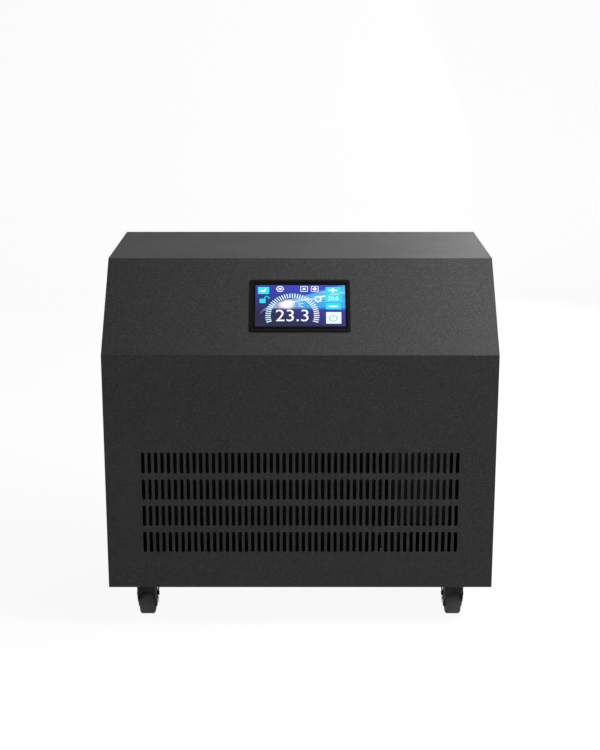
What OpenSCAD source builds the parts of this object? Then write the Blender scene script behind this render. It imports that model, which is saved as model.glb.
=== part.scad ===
// Water chiller cabinet on castors: a folded sheet cabinet with a punched front grille
// and a touch screen in its sloped face, holding an air-cooled cooling circuit and a pump.
// Millimetres. +Z is up, the front faces -Y, and the origin lies on the floor under the
// middle of the whole object.

/* [Cabinet] */
// Width of the cabinet
cabinet_w = 660; // [650:5:720]
// Depth of the cabinet
cabinet_d = 418; // [414:2:460]
// Height of the upright front, from the tray's underside to the fold
front_h = 412; // [408:1:450]
// Rise of the sloped face
slope_rise = 138; // [128:1:150]
// Run of the sloped face, front to back
slope_run = 138; // [128:1:150]
// Thickness of the outer sheets
sheet_t = 1.5; // [1.2:0.1:2]
// Thickness of the base tray
tray_t = 2; // [1.5:0.1:3]
// Gap left at the seams between sheets
panel_seam = 0.3; // [0.2:0.05:0.5]
// Width of the folded rims that the sheets are screwed to
rim_w = 15; // [12:1:18]
// Height of the tray's upturned edges
tray_lip_h = 25; // [15:1:30]

/* [Front grille] */
// Slots in a row
slot_columns = 50; // [40:1:52]
// Rows of slots
slot_rows = 4; // [2:1:5]
// Width of a slot
slot_w = 6; // [4:0.5:7]
// Length of a slot, end to end
slot_l = 37; // [30:1:40]
// Distance between the first and the last slot of a row
slot_field_w = 531; // [500:1:560]
// Distance between rows, centre to centre
slot_row_pitch = 47.3; // [42:0.1:50]
// Height of the lowest row's centre above the cabinet's lower edge
slot_first_h = 83.15; // [70:0.05:90]

/* [Rear panel] */
// Slots in a row of the air outlet
outlet_columns = 22; // [16:1:24]
// Rows of slots of the air outlet
outlet_rows = 5; // [3:1:5]
// Distance between neighbouring outlet slots
outlet_pitch = 10.8; // [9:0.2:11]
// Thread diameter of the panel screws
screw_d = 4; // [3:0.5:5]

/* [Display] */
// Width of the display bezel
bezel_w = 169; // [160:1:180]
// Height of the display bezel
bezel_h = 104; // [96:1:110]
// Width of the rim that laps over the cut-out
bezel_lap = 3.5; // [3:0.5:5]
// How far the bezel stands proud of the sloped face
bezel_t = 1.8; // [1:0.1:3]
// Wall of the collar that enters the cut-out
bezel_wall = 1.6; // [1.2:0.1:2]
// Thickness of the screen with its panel
screen_t = 6; // [4:0.5:8]
// Depth of the case behind the screen
display_case_d = 20; // [16:1:26]

/* [Side grips] */
// Length of a grip's opening, front to back
grip_w = 120; // [100:2:130]
// Height of a grip's opening
grip_h = 42; // [36:1:50]
// Depth of a grip below the side panel
grip_depth = 30; // [22:1:32]
// Wall of a grip cup
grip_wall = 2; // [1.5:0.1:3]
// Height of the cup's middle above the cabinet's lower edge
grip_up = 435; // [432:1:445]
// Distance of the cup's middle behind the front
grip_back = 240; // [235:1:260]

/* [Castors] */
// Height of a castor, floor to mounting face
castor_h = 79; // [78:1:84]
// How far the base lies above the lower edges of the panels
base_recess = 7; // [4:0.5:9]
// Diameter of a wheel
wheel_d = 50; // [46:1:52]
// Width of a tyre
tyre_w = 26.5; // [22:0.5:27]
// Width across a fork's legs
fork_w = 32; // [31:0.5:35]
// Thickness of a fork's legs
fork_leg_t = 2; // [1.8:0.1:2.5]
// Trail, from the swivel axis to the axle
castor_trail = 17; // [16:0.5:18]
// Diameter of an axle
axle_d = 6; // [5:0.5:7]
// Diameter of a king pin
king_pin_d = 8; // [7:0.5:9]
// Side of a square mounting plate
castor_plate_w = 60; // [58:1:64]
// Distance of the swivel axes from the cabinet's sides
castor_in = 61; // [55:1:70]
// Distance of the front swivel axes behind the front
castor_front_in = 40; // [35:1:50]
// Distance of the rear swivel axes ahead of the back
castor_rear_in = 36; // [35:1:50]

/* [Air side] */
// Height of the condenser's fins
condenser_h = 310; // [290:2:320]
// Depth of the condenser's fins
condenser_d = 44; // [36:1:48]
// Distance between fins
fin_pitch = 4.3; // [4:0.1:6]
// Outer diameter of the condenser's tube
condenser_tube_d = 9.5; // [8:0.5:10]
// Diameter of the fan
fan_d = 256; // [230:2:260]
// Gap between the fan's tips and its ring
fan_tip_gap = 7; // [4:0.5:8]
// Blades of the fan
fan_blades = 5; // [3:1:7]
// Pitch of a blade, in degrees
blade_pitch = 22; // [18:1:26]

/* [Cooling circuit] */
// Diameter of the compressor's shell
compressor_d = 136; // [120:1:138]
// Height of the compressor's shell
compressor_h = 250; // [220:2:254]
// Diameter of the suction accumulator
accumulator_d = 56; // [46:1:58]
// Height of the suction accumulator
accumulator_h = 170; // [140:2:190]
// Diameter of the evaporator's shell
evaporator_d = 116; // [100:1:118]
// Height of the evaporator's shell
evaporator_h = 300; // [280:2:310]
// Diameter of the filter drier
drier_d = 28; // [22:1:30]
// Length of the filter drier
drier_h = 110; // [90:2:120]
// Diameter of the discharge pipe
discharge_d = 10; // [8:0.5:10]
// Diameter of the liquid pipe
liquid_d = 8; // [6:0.5:8]
// Diameter of the suction pipe
suction_d = 16; // [12:0.5:16]

/* [Water side] */
// Outer diameter of the ports' threads
port_d = 26.4; // [20:0.1:28]
// How far the ports stand out behind the rear panel
port_reach = 32; // [26:1:40]
// Bore of the ports
port_bore = 18; // [12:0.5:18]
// Height of the lower port above the cabinet's lower edge
port_low_h = 62; // [60:1:66]
// Distance of the upper port below the evaporator's cap
port_high_down = 24; // [20:1:60]
// Outer diameter of the hoses
hose_d = 22; // [20:0.5:24]
// Bore of the hoses
hose_bore = 16; // [12:0.5:17]
// Diameter of the pump's motor
pump_motor_d = 84; // [70:1:86]
// Length of the pump's motor
pump_motor_l = 110; // [90:2:120]
// Diameter of the pump's casing
pump_casing_d = 92; // [84:1:96]

/* [Electrical side] */
// Width of the control box
control_box_w = 86; // [78:1:90]
// Depth of the control box, front to back
control_box_d = 180; // [150:2:182]
// Height of the control box
control_box_h = 232; // [200:2:236]
// Width of the power inlet's socket
socket_w = 24.5; // [22:0.5:26]
// Height of the power inlet's socket
socket_h = 17; // [15:0.5:18]
// Width of the rocker switch
rocker_w = 19; // [16:0.5:20]
// Height of the rocker switch
rocker_h = 26; // [22:0.5:28]

/* [Hidden] */
$fn = 64;

// Overrun of every cut past the face that it opens
cut = 1;
// Gap between pieces that seat on each other or pass each other closely
seat_gap = 0.3;
// Radial clearance of a shaft in its hole
run_fit = 0.05;
// Radial clearance of a bolt or screw in its hole
bolt_fit = 0.3;

// Planes of the cabinet
front_y = -(cabinet_d + port_reach) / 2;
back_y = front_y + cabinet_d;
bottom_z = castor_h - base_recess;
tray_top = castor_h + tray_t;
fold_z = bottom_z + front_h;
top_z = fold_z + slope_rise;
slope_a = atan2(slope_rise, slope_run);
skin = sheet_t + panel_seam;
left_in = -cabinet_w / 2 + sheet_t;
right_in = cabinet_w / 2 - sheet_t;
back_in = back_y - sheet_t;
rim_inner_w = cabinet_w - 2 * (rim_w + panel_seam);

// Bays: the bulkhead parts the air side from the compressor's bay
compressor_bay_w = 160.5;
bulkhead_x = right_in - compressor_bay_w;
bulkhead_h = 360;
bulkhead_front_in = 24;
bulkhead_rear_in = 24;
bulkhead_foot_w = 16;
bulkhead_y = front_y + bulkhead_front_in;
bulkhead_l = cabinet_d - bulkhead_front_in - bulkhead_rear_in;

// Panel screws
screw_head_d = 2.2 * screw_d;
screw_head_h = 0.55 * screw_d;
screw_tip = 4;
screw_shares = [0.09, 0.29, 0.5, 0.72, 0.94];
screw_x = cabinet_w / 2 - rim_w / 2;

// Display
bezel_corner_r = 2.5;
window_w = bezel_w - 2 * bezel_lap - 2 * bezel_wall - 2 * seat_gap;
window_h = bezel_h - 2 * bezel_lap - 2 * bezel_wall - 2 * seat_gap;
collar_w = bezel_w - 2 * bezel_lap;
collar_h = bezel_h - 2 * bezel_lap;
collar_d = sheet_t + seat_gap;
display_case_wall = 2;
display_lip = 6;

// Side grips
grip_y = front_y + grip_back;
grip_z = bottom_z + grip_up;
grip_flange = 8;
grip_flange_t = 1.5;
grip_corner_r = 12;

// Castors: heights of the stack under the mounting plate
castor_x = cabinet_w / 2 - castor_in;
castor_front_y = front_y + castor_front_in;
castor_rear_y = back_y - castor_rear_in;
castor_plate_t = 2.5;
castor_plate_r = 6;
castor_bolt_d = 6;
castor_bolt_head_h = 4;
castor_bolt_nut_h = 5;
castor_bolt_tip = 1.5;
hex_across = 10;
castor_bolt_margin = 14;
castor_bolt_step = castor_plate_w - castor_bolt_margin;
race_d = 38;
race_h = 4;
wheel_r = wheel_d / 2;
plate_z = castor_h - castor_plate_t;
race_z = plate_z - race_h;
fork_top = race_z - seat_gap;
fork_crown_t = 4;
crown_low = fork_top - fork_crown_t;
king_head_d = 14;
king_head_h = 3;
king_head_top = crown_low - seat_gap;
fork_gap = fork_w - 2 * fork_leg_t;
fork_skirt_t = 3;
fork_skirt_h = 28;
fork_arch_h = 19.5;
fork_edge_r = 6;
leg_end_r = 12;
axle_head_d = 11;
axle_head_h = 2.5;
tyre_t = 9;
tyre_side_clear = 0.7;
tyre_body_w = min(tyre_w, fork_gap - 2 * tyre_side_clear);
tyre_shoulder_r = 0.48 * tyre_t;
hub_rim_t = 2.5;
hub_rim_inset = 1;
hub_web_t = 6;
hub_barrel_d = 16;
hub_barrel_inset = 0.5;
hub_spacer_t = 2;

// Brake lever: its tabs lie outside the fork, its pedal behind the wheel
brake_pivot_back = 2;
brake_pivot_up = 11;
brake_pivot_y = castor_trail + brake_pivot_back;
brake_pivot_z = wheel_r + brake_pivot_up;
brake_pin_d = 5;
brake_rivet_d = 8;
brake_rivet_h = 1.5;
brake_tab_t = 1.5;
brake_tab_r = 4.5;
brake_tab_x = fork_w / 2 + seat_gap;
brake_lever_x = brake_tab_x + brake_tab_t;
brake_rivet_x = brake_lever_x + seat_gap;
brake_pad_gap = 3.2;
brake_pad_a = 27;
brake_pedal_l = 20;
brake_pedal_t = 3.5;
brake_pedal_a = 9;

// Condenser and fan
condenser_front_in = 24;
condenser_left_in = 45.5;
condenser_right_in = 43;
condenser_up = 10;
condenser_x0 = left_in + condenser_left_in;
condenser_x1 = bulkhead_x - condenser_right_in;
condenser_y = front_y + condenser_front_in;
condenser_z = tray_top + condenser_up;
condenser_w = condenser_x1 - condenser_x0;
condenser_mid_y = condenser_y + condenser_d / 2;
fin_t = 1.2;
fin_core_share = 0.77;
end_plate_t = 1.5;
bend_pitch = 25;
bend_first_up = 45;
hot_down = 39;
bend_count = floor((condenser_h - bend_first_up - hot_down + bend_pitch) / (2 * bend_pitch));
fan_x = (condenser_x0 + condenser_x1) / 2;
fan_z = condenser_z + condenser_h / 2;
shroud_t = 1.5;
plenum_d = 18;
fan_ring_d = 26;
shroud_y = condenser_y + condenser_d + plenum_d;
fan_ring_r = fan_d / 2 + fan_tip_gap;
fan_hub_d = 84;
fan_hub_l = 30;
fan_hub_dome_share = 0.7;
fan_hub_front = 6;
fan_shaft_d = 8;
fan_y = shroud_y - fan_hub_front;
blade_t = 1.6;
blade_camber_r = 150;
blade_start_share = 0.8;
blade_root_share = 0.24;
blade_tip_share = 0.42;
motor_arm_w = 14;
motor_arm_t = 3;
motor_post_d = 12;
motor_post_out = 6;
motor_d = 76;
motor_l = 62;
motor_gap = 8;
motor_y = fan_y + fan_hub_l + motor_gap;
motor_socket_l = 30;

// Compressor and accumulator
compressor_in = 80.5;
compressor_x = right_in - compressor_in;
compressor_back = 290;
compressor_y = front_y + compressor_back;
compressor_up = 20;
compressor_z = tray_top + compressor_up;
compressor_dome_h = 34;
foot_plate_t = 3;
foot_plate_d = 118;
foot_corner_r = 12;
grommet_d = 24;
grommet_waist_d = 16;
grommet_bore = 8;
stub_h = 10;
discharge_in = 30;
discharge_rise = 40;
discharge_x = compressor_x - discharge_in;
discharge_z = compressor_z + compressor_h + discharge_rise;
pipe_bend = 14;
accumulator_a = 120;
accumulator_step = (compressor_d + accumulator_d) / 2 + seat_gap;
accumulator_x = compressor_x + accumulator_step * cos(accumulator_a);
accumulator_y = compressor_y + accumulator_step * sin(accumulator_a);
accumulator_up = 150;
accumulator_z = tray_top + accumulator_up;
accumulator_neck = 14;
suction_low = 32;

// Evaporator
evaporator_in = 66.5;
evaporator_back = 190;
evaporator_x = left_in + evaporator_in;
evaporator_y = front_y + evaporator_back;
evaporator_foot_h = 12;
evaporator_foot_t = 3;
evaporator_foot_w = 10;
evaporator_z = tray_top + evaporator_foot_h;
evaporator_cap_h = 18;
evaporator_cap_lap = 0.5;
evaporator_top = evaporator_z + evaporator_h + evaporator_cap_h;
stub_out = 12;
stub_wall = 2.5;
evaporator_stub_x = 24;
run_rise = 32;
run_step = 24;
bulkhead_over = 26;
liquid_run_z = evaporator_top + run_rise;
suction_run_z = max(liquid_run_z + run_step, tray_top + bulkhead_h + bulkhead_over);

// Pipes between the condenser and the drier
liquid_in = 24;
liquid_back = 240;
liquid_up = 22;
drier_up = 34;
hot_in = 13;
liquid_x = bulkhead_x - liquid_in;
liquid_y = front_y + liquid_back;
liquid_z = condenser_z + liquid_up;
drier_z = liquid_z + drier_up;
hot_x = bulkhead_x - hot_in;
hot_z = condenser_z + condenser_h - hot_down;
pipe_wall = 1;
grommet_gap = 3;

// Water ports, hoses and pump
port_x = evaporator_x;
port_low_z = bottom_z + port_low_h;
port_high_z = evaporator_z + evaporator_h - port_high_down;
port_flange_t = 6;
port_hex = 36;
port_nut_t = 6;
port_tail_l = 8;
port_tail_y = back_in - port_nut_t - port_tail_l;
hose_bend = 24;
pump_rear_in = 88;
pump_y = back_y - pump_rear_in;
pump_z = port_low_z;
pump_in = 74;
pump_x = port_x + pump_in;
casing_w = 40;
casing_wall = 5;
pump_eye_l = 14;
pump_shaft_d = 8;
impeller_gap = 1.5;
impeller_disc_t = 3;
impeller_vanes = 6;
vane_t = 2.5;
impeller_eye_d = 30;
pump_foot_t = 4;
pump_foot_w = 70;
pump_leg_t = 5;
pump_leg_w = 50;
feed_up = 105;
feed_z = pump_z + feed_up;

// Control box
control_box_wall = 1.5;
control_box_up = 106;
control_box_back = 30;
control_box_x = bulkhead_x + sheet_t;
control_box_y = front_y + control_box_back;
control_box_z = bottom_z + control_box_up;
board_t = 1.6;
board_margin = 12;
board_post_h = 8;
board_post_d = 7;

// Power inlet with its rocker switch
inlet_in = 88;
inlet_up = 74;
inlet_x = right_in - inlet_in;
inlet_z = bottom_z + inlet_up;
inlet_flange_t = 2.5;
inlet_border = 7;
inlet_wall = 2;
socket_depth = 17;
socket_pin_l = 11.5;
socket_pin_w = 4;
socket_pin_t = 2;
socket_pin_x_share = 0.29;
socket_pin_z_share = 0.13;
inlet_d = 22;
inlet_rib = 8;
rocker_gap = 0.4;
rocker_end_gap = 0.9;
rocker_pin_d = 3;
rocker_pin_l = 1.6;
rocker_in = 2;
rocker_out = 2.5;
rocker_tilt = 10;
rocker_depth = 8;
inlet_w = rocker_w + 2 * rocker_gap + 2 * inlet_wall + 2 * inlet_border;
inlet_h = socket_h + rocker_h + 2 * rocker_end_gap + inlet_rib + 2 * inlet_border;
socket_z = inlet_z - inlet_h / 2 + inlet_border + socket_h / 2;
rocker_z = inlet_z + inlet_h / 2 - inlet_border - rocker_end_gap - rocker_h / 2;

// Rectangle with rounded corners, centred
module round_rect(w, h, r) {
    square([w - 2 * r, h], center = true);
    square([w, h - 2 * r], center = true);
    for (i = [-1, 1], j = [-1, 1])
        translate([i * (w / 2 - r), j * (h / 2 - r)]) circle(r);
}

// Slot with round ends, standing upright
module upright_slot(w, l) {
    square([w, l - w], center = true);
    for (j = [-1, 1]) translate([0, j * (l - w) / 2]) circle(d = w);
}

// A sheet that faces the front: the outline is drawn in x and z
module facing(y, t) {
    translate([0, y + t, 0]) rotate([90, 0, 0]) linear_extrude(t) children();
}

// A sheet that faces sideways: the outline is drawn in y and z
module sideways(x, t) {
    translate([x, 0, 0]) rotate([90, 0, 90]) linear_extrude(t) children();
}

// Places its children on the middle of the sloped face, with +Z out of the face
module on_slope() {
    translate([0, front_y + slope_run / 2, fold_z + slope_rise / 2])
        rotate([slope_a, 0, 0]) children();
}

// y of a line that runs the given depth below the sloped face, at height z
function slope_y(z, depth) =
    front_y + ((z - fold_z) * cos(slope_a) + depth) / sin(slope_a);

// Hexagon of a given width across its flats
module hexagon(across) {
    circle(d = across / cos(30), $fn = 6);
}

// Round bar along X between two values of x, in the present frame
module bar_x(x0, x1, d) {
    translate([x0, 0, 0]) rotate([0, 90, 0]) cylinder(h = x1 - x0, d = d);
}

// Bar along Y between two values of y, in the present frame
module bar_y(y0, y1, d) {
    translate([0, y0, 0]) rotate([-90, 0, 0]) cylinder(h = y1 - y0, d = d);
}

// Pipe of straight runs along the axes, joined by quarter bends
function unit(v) = v / norm(v);
function side_of(d) = abs(d.z) > 0.5 ? [1, 0, 0] : [0, 0, 1];
function placed(x, y, z, at) =
    [[x.x, y.x, z.x, at.x], [x.y, y.y, z.y, at.y], [x.z, y.z, z.z, at.z], [0, 0, 0, 1]];

module pipe_ring(d, bore) {
    difference() {
        circle(d = d);
        if (bore > 0) circle(d = bore);
    }
}

module pipe_run(a, b, d, bore) {
    along = unit(b - a);
    side = side_of(along);
    multmatrix(placed(side, cross(along, side), along, a))
        linear_extrude(norm(b - a)) pipe_ring(d, bore);
}

module pipe_elbow(p, din, dout, d, bore, bend) {
    multmatrix(placed(-dout, din, cross(-dout, din), p - bend * din + bend * dout))
        rotate_extrude(angle = 90) translate([bend, 0]) pipe_ring(d, bore);
}

module pipe(pts, d, bore, bend) {
    last = len(pts) - 1;
    for (i = [0 : last - 1]) {
        along = unit(pts[i + 1] - pts[i]);
        start = pts[i] + (i > 0 ? bend : 0) * along;
        finish = pts[i + 1] - (i + 1 < last ? bend : 0) * along;
        pipe_run(start, finish, d, bore);
    }
    for (i = [1 : 1 : last - 1])
        pipe_elbow(pts[i], unit(pts[i] - pts[i - 1]), unit(pts[i + 1] - pts[i]), d, bore, bend);
}

// Cabinet

module castor_places() {
    for (i = [-1, 1], y = [castor_front_y, castor_rear_y])
        translate([i * castor_x, y, 0]) children();
}

module castor_bolt_places() {
    for (i = [-1, 1], j = [-1, 1])
        translate([i * castor_bolt_step / 2, j * castor_bolt_step / 2, 0]) children();
}

module base_tray() {
    tray_w = cabinet_w - 2 * skin;
    tray_d = cabinet_d - 4 * skin;
    mid_y = (front_y + back_y) / 2;
    color([0.2, 0.2, 0.21]) difference() {
        translate([0, mid_y, castor_h]) union() {
            linear_extrude(tray_t) square([tray_w, tray_d], center = true);
            linear_extrude(tray_lip_h) difference() {
                square([tray_w, tray_d], center = true);
                square([tray_w - 2 * tray_t, tray_d - 2 * tray_t], center = true);
            }
        }
        castor_places() castor_bolt_places() translate([0, 0, castor_h - cut])
            cylinder(h = tray_t + 2 * cut, d = castor_bolt_d + 2 * bolt_fit);
    }
}

module grille_slots() {
    step = slot_field_w / (slot_columns - 1);
    for (i = [0 : slot_columns - 1], j = [0 : slot_rows - 1])
        translate([i * step - slot_field_w / 2, bottom_z + slot_first_h + j * slot_row_pitch])
            upright_slot(slot_w, slot_l);
}

module front_panel() {
    upper = fold_z - panel_seam / 2;
    color([0.19, 0.19, 0.2]) {
        facing(front_y, sheet_t) difference() {
            translate([-cabinet_w / 2, bottom_z]) square([cabinet_w, upper - bottom_z]);
            grille_slots();
        }
        translate([-rim_inner_w / 2, front_y, upper - sheet_t])
            cube([rim_inner_w, rim_w, sheet_t]);
    }
}

module hood() {
    lip_z = fold_z + panel_seam / 2;
    color([0.24, 0.24, 0.25]) difference() {
        union() {
            sideways(-cabinet_w / 2, cabinet_w) polygon([
                [slope_y(lip_z, 0), lip_z],
                [front_y + slope_run, top_z],
                [back_y, top_z],
                [back_y, top_z - sheet_t],
                [slope_y(top_z - sheet_t, sheet_t), top_z - sheet_t],
                [slope_y(lip_z, sheet_t), lip_z]
            ]);
            sideways(-rim_inner_w / 2, rim_inner_w) polygon([
                [slope_y(lip_z, 0), lip_z],
                [slope_y(lip_z + sheet_t, 0), lip_z + sheet_t],
                [front_y + rim_w, lip_z + sheet_t],
                [front_y + rim_w, lip_z]
            ]);
        }
        on_slope() translate([0, 0, -sheet_t - cut])
            linear_extrude(sheet_t + 2 * cut)
                square([collar_w + 2 * seat_gap, collar_h + 2 * seat_gap], center = true);
    }
}

function side_outline(i, low_z) = [
    [front_y + i, low_z],
    [front_y + i, fold_z - i * (1 - sin(slope_a)) / cos(slope_a)],
    [slope_y(top_z - i, i), top_z - i],
    [back_y - i, top_z - i],
    [back_y - i, low_z]
];

module screw_places() {
    for (i = [-1, 1], s = screw_shares)
        translate([i * screw_x, back_y, bottom_z + s * (top_z - bottom_z)])
            children();
}

// The left side panel; the right one is its mirror image
module side_panel() {
    difference() {
        union() {
            sideways(-cabinet_w / 2, sheet_t) polygon(side_outline(skin, bottom_z));
            sideways(-cabinet_w / 2, rim_w) difference() {
                polygon(side_outline(skin, bottom_z));
                polygon(side_outline(skin + sheet_t, bottom_z - cut));
            }
        }
        sideways(-cabinet_w / 2 - cut, sheet_t + 2 * cut)
            translate([grip_y, grip_z]) round_rect(grip_w, grip_h, grip_corner_r);
        screw_places() bar_y(-2 * skin - cut, cut, screw_d + 2 * bolt_fit);
    }
}

module left_side_panel() {
    color([0.22, 0.22, 0.23]) side_panel();
}

module right_side_panel() {
    color([0.22, 0.22, 0.23]) mirror([1, 0, 0]) side_panel();
}

module outlet_slots() {
    for (i = [0 : outlet_columns - 1], j = [0 : outlet_rows - 1])
        translate([
            fan_x + (i - (outlet_columns - 1) / 2) * outlet_pitch,
            fan_z + (j - (outlet_rows - 1) / 2) * slot_row_pitch
        ]) upright_slot(slot_w, slot_l);
}

module rear_panel() {
    upper = top_z - skin;
    color([0.22, 0.22, 0.23]) difference() {
        union() {
            facing(back_in, sheet_t) difference() {
                translate([-cabinet_w / 2, bottom_z]) square([cabinet_w, upper - bottom_z]);
                outlet_slots();
                for (z = [port_low_z, port_high_z])
                    translate([port_x, z]) circle(d = port_d + 2 * bolt_fit);
                translate([inlet_x, inlet_z]) square([
                    inlet_w - 2 * inlet_border + 2 * seat_gap,
                    inlet_h - inlet_border
                ], center = true);
            }
            translate([-rim_inner_w / 2, back_y - rim_w, upper - sheet_t])
                cube([rim_inner_w, rim_w, sheet_t]);
        }
        screw_places() bar_y(-sheet_t - cut, cut, screw_d + 2 * bolt_fit);
    }
}

module bulkhead() {
    color([0.1, 0.1, 0.11]) difference() {
        union() {
            translate([bulkhead_x, bulkhead_y, tray_top])
                cube([sheet_t, bulkhead_l, bulkhead_h]);
            translate([bulkhead_x, bulkhead_y, tray_top])
                cube([bulkhead_foot_w, bulkhead_l, sheet_t]);
        }
        translate([0, compressor_y, discharge_z])
            bar_x(bulkhead_x - cut, bulkhead_x + sheet_t + cut, discharge_d + 2 * grommet_gap);
    }
}

module cabinet_screws() {
    color([0.12, 0.12, 0.12]) screw_places() rotate([-90, 0, 0]) rotate_extrude() polygon([
        [0, -sheet_t - skin - screw_tip],
        [screw_d / 4, -sheet_t - skin - screw_tip],
        [screw_d / 2, -sheet_t - skin - screw_tip + screw_d / 4],
        [screw_d / 2, 0],
        [screw_head_d / 2, 0],
        [screw_head_d / 2, screw_head_h / 2],
        [screw_head_d / 3, screw_head_h],
        [0, screw_head_h]
    ]);
}

// Display

module display_bezel() {
    color([0.06, 0.06, 0.07]) on_slope() difference() {
        union() {
            linear_extrude(bezel_t) round_rect(bezel_w, bezel_h, bezel_corner_r);
            translate([0, 0, -collar_d]) linear_extrude(collar_d)
                square([collar_w, collar_h], center = true);
        }
        translate([0, 0, -collar_d - cut]) linear_extrude(collar_d + bezel_t + 2 * cut)
            square([window_w + 2 * seat_gap, window_h + 2 * seat_gap], center = true);
    }
}

module touch_screen() {
    color([0.1, 0.25, 0.6]) on_slope() {
        translate([0, 0, -screen_t]) linear_extrude(screen_t + bezel_t / 2)
            square([window_w, window_h], center = true);
        translate([0, 0, -screen_t]) linear_extrude(screen_t - collar_d - seat_gap)
            square([collar_w, collar_h], center = true);
    }
}

module display_case() {
    outer_w = bezel_w + display_lip;
    outer_h = bezel_h + display_lip;
    color([0.1, 0.1, 0.1]) on_slope() difference() {
        translate([0, 0, -sheet_t - seat_gap - display_case_d])
            linear_extrude(display_case_d) round_rect(outer_w, outer_h, bezel_corner_r);
        translate([0, 0, -screen_t - seat_gap]) linear_extrude(screen_t + cut)
            square([collar_w + 2 * seat_gap, collar_h + 2 * seat_gap], center = true);
        translate([0, 0, -sheet_t - seat_gap - display_case_d + display_case_wall])
            linear_extrude(display_case_d) square([
                collar_w - 2 * display_case_wall,
                collar_h - 2 * display_case_wall
            ], center = true);
    }
}

// Side grips: a cup with a flange that laps over the side panel

module grip_cup() {
    cup_w = grip_w - 2 * seat_gap;
    cup_h = grip_h - 2 * seat_gap;
    cup_r = grip_corner_r - seat_gap;
    translate([-cabinet_w / 2, grip_y, grip_z]) rotate([90, 0, 90]) difference() {
        union() {
            translate([0, 0, -grip_flange_t]) linear_extrude(grip_flange_t)
                round_rect(grip_w + 2 * grip_flange, grip_h + 2 * grip_flange, grip_corner_r);
            linear_extrude(grip_depth) round_rect(cup_w, cup_h, cup_r);
        }
        translate([0, 0, -grip_flange_t - cut])
            linear_extrude(grip_flange_t + cut + grip_depth - grip_wall)
                round_rect(cup_w - 2 * grip_wall, cup_h - 2 * grip_wall, cup_r - grip_wall);
    }
}

module left_handle_cup() {
    color([0.08, 0.08, 0.08]) grip_cup();
}

module right_handle_cup() {
    color([0.08, 0.08, 0.08]) mirror([1, 0, 0]) grip_cup();
}

// Castors

module castor_plates() {
    color([0.6, 0.6, 0.62]) castor_places() {
        translate([0, 0, plate_z]) linear_extrude(castor_plate_t) difference() {
            round_rect(castor_plate_w, castor_plate_w, castor_plate_r);
            castor_bolt_places() circle(d = castor_bolt_d + 2 * bolt_fit);
        }
        rotate_extrude() polygon([
            [0, king_head_top - king_head_h],
            [king_head_d / 3, king_head_top - king_head_h],
            [king_head_d / 2, king_head_top - king_head_h / 2],
            [king_head_d / 2, king_head_top],
            [king_pin_d / 2, king_head_top],
            [king_pin_d / 2, race_z],
            [race_d / 2, race_z],
            [race_d / 2, plate_z + castor_plate_t / 2],
            [0, plate_z + castor_plate_t / 2]
        ]);
    }
}

module castor_bolts() {
    color([0.65, 0.65, 0.66]) castor_places() castor_bolt_places() {
        translate([0, 0, plate_z - castor_bolt_head_h])
            linear_extrude(castor_bolt_head_h) hexagon(hex_across);
        translate([0, 0, plate_z - castor_bolt_head_h]) cylinder(
            h = castor_bolt_head_h + castor_plate_t + tray_t + castor_bolt_nut_h + castor_bolt_tip,
            d = castor_bolt_d
        );
        translate([0, 0, tray_top]) linear_extrude(castor_bolt_nut_h) hexagon(hex_across);
    }
}

// A fork about its own swivel axis, with its wheel trailing towards +Y
module castor_fork(brake) {
    difference() {
        union() {
            intersection() {
                sideways(-fork_w / 2, fork_w) union() {
                    polygon([
                        [-fork_w / 2, fork_top],
                        [-fork_w / 2, fork_top - fork_skirt_h],
                        [castor_trail - leg_end_r, wheel_r],
                        [castor_trail + leg_end_r, wheel_r],
                        [fork_w / 2, fork_top]
                    ]);
                    translate([castor_trail, wheel_r]) circle(leg_end_r);
                }
                linear_extrude(castor_h) union() {
                    round_rect(fork_w, fork_w, fork_edge_r);
                    translate([-fork_w / 2, 0]) square([fork_w, 2 * fork_w]);
                }
            }
            if (brake) translate([0, brake_pivot_y, brake_pivot_z]) {
                bar_x(-brake_rivet_x, brake_rivet_x, brake_pin_d);
                for (s = [-1, 1]) mirror([s < 0 ? 1 : 0, 0, 0])
                    bar_x(brake_rivet_x, brake_rivet_x + brake_rivet_h, brake_rivet_d);
            }
        }
        sideways(-fork_gap / 2, fork_gap) polygon([
            [-fork_w / 2 + fork_skirt_t, -cut],
            [-fork_w / 2 + fork_skirt_t, crown_low],
            [2 * fork_w, crown_low],
            [2 * fork_w, -cut]
        ]);
        facing(-fork_w / 2 - cut, fork_skirt_t + 2 * cut) union() {
            translate([0, fork_top - fork_arch_h - fork_gap / 2]) circle(fork_gap / 2);
            translate([-fork_gap / 2, -cut])
                square([fork_gap, fork_top - fork_arch_h - fork_gap / 2 + cut]);
        }
        translate([0, 0, crown_low - cut])
            cylinder(h = fork_crown_t + 2 * cut, d = king_pin_d + 2 * run_fit);
        translate([0, castor_trail, wheel_r])
            bar_x(-fork_w / 2 - cut, fork_w / 2 + cut, axle_d + 2 * run_fit);
    }
}

module castor_axle() {
    translate([0, castor_trail, wheel_r]) {
        bar_x(-fork_w / 2, fork_w / 2 + axle_head_h, axle_d);
        bar_x(-fork_w / 2 - axle_head_h, -fork_w / 2, axle_head_d);
        translate([fork_w / 2, 0, 0]) rotate([0, 90, 0])
            linear_extrude(axle_head_h) hexagon(hex_across);
    }
}

module about_axle() {
    translate([0, castor_trail, wheel_r]) rotate([0, 90, 0]) rotate_extrude() children();
}

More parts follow.
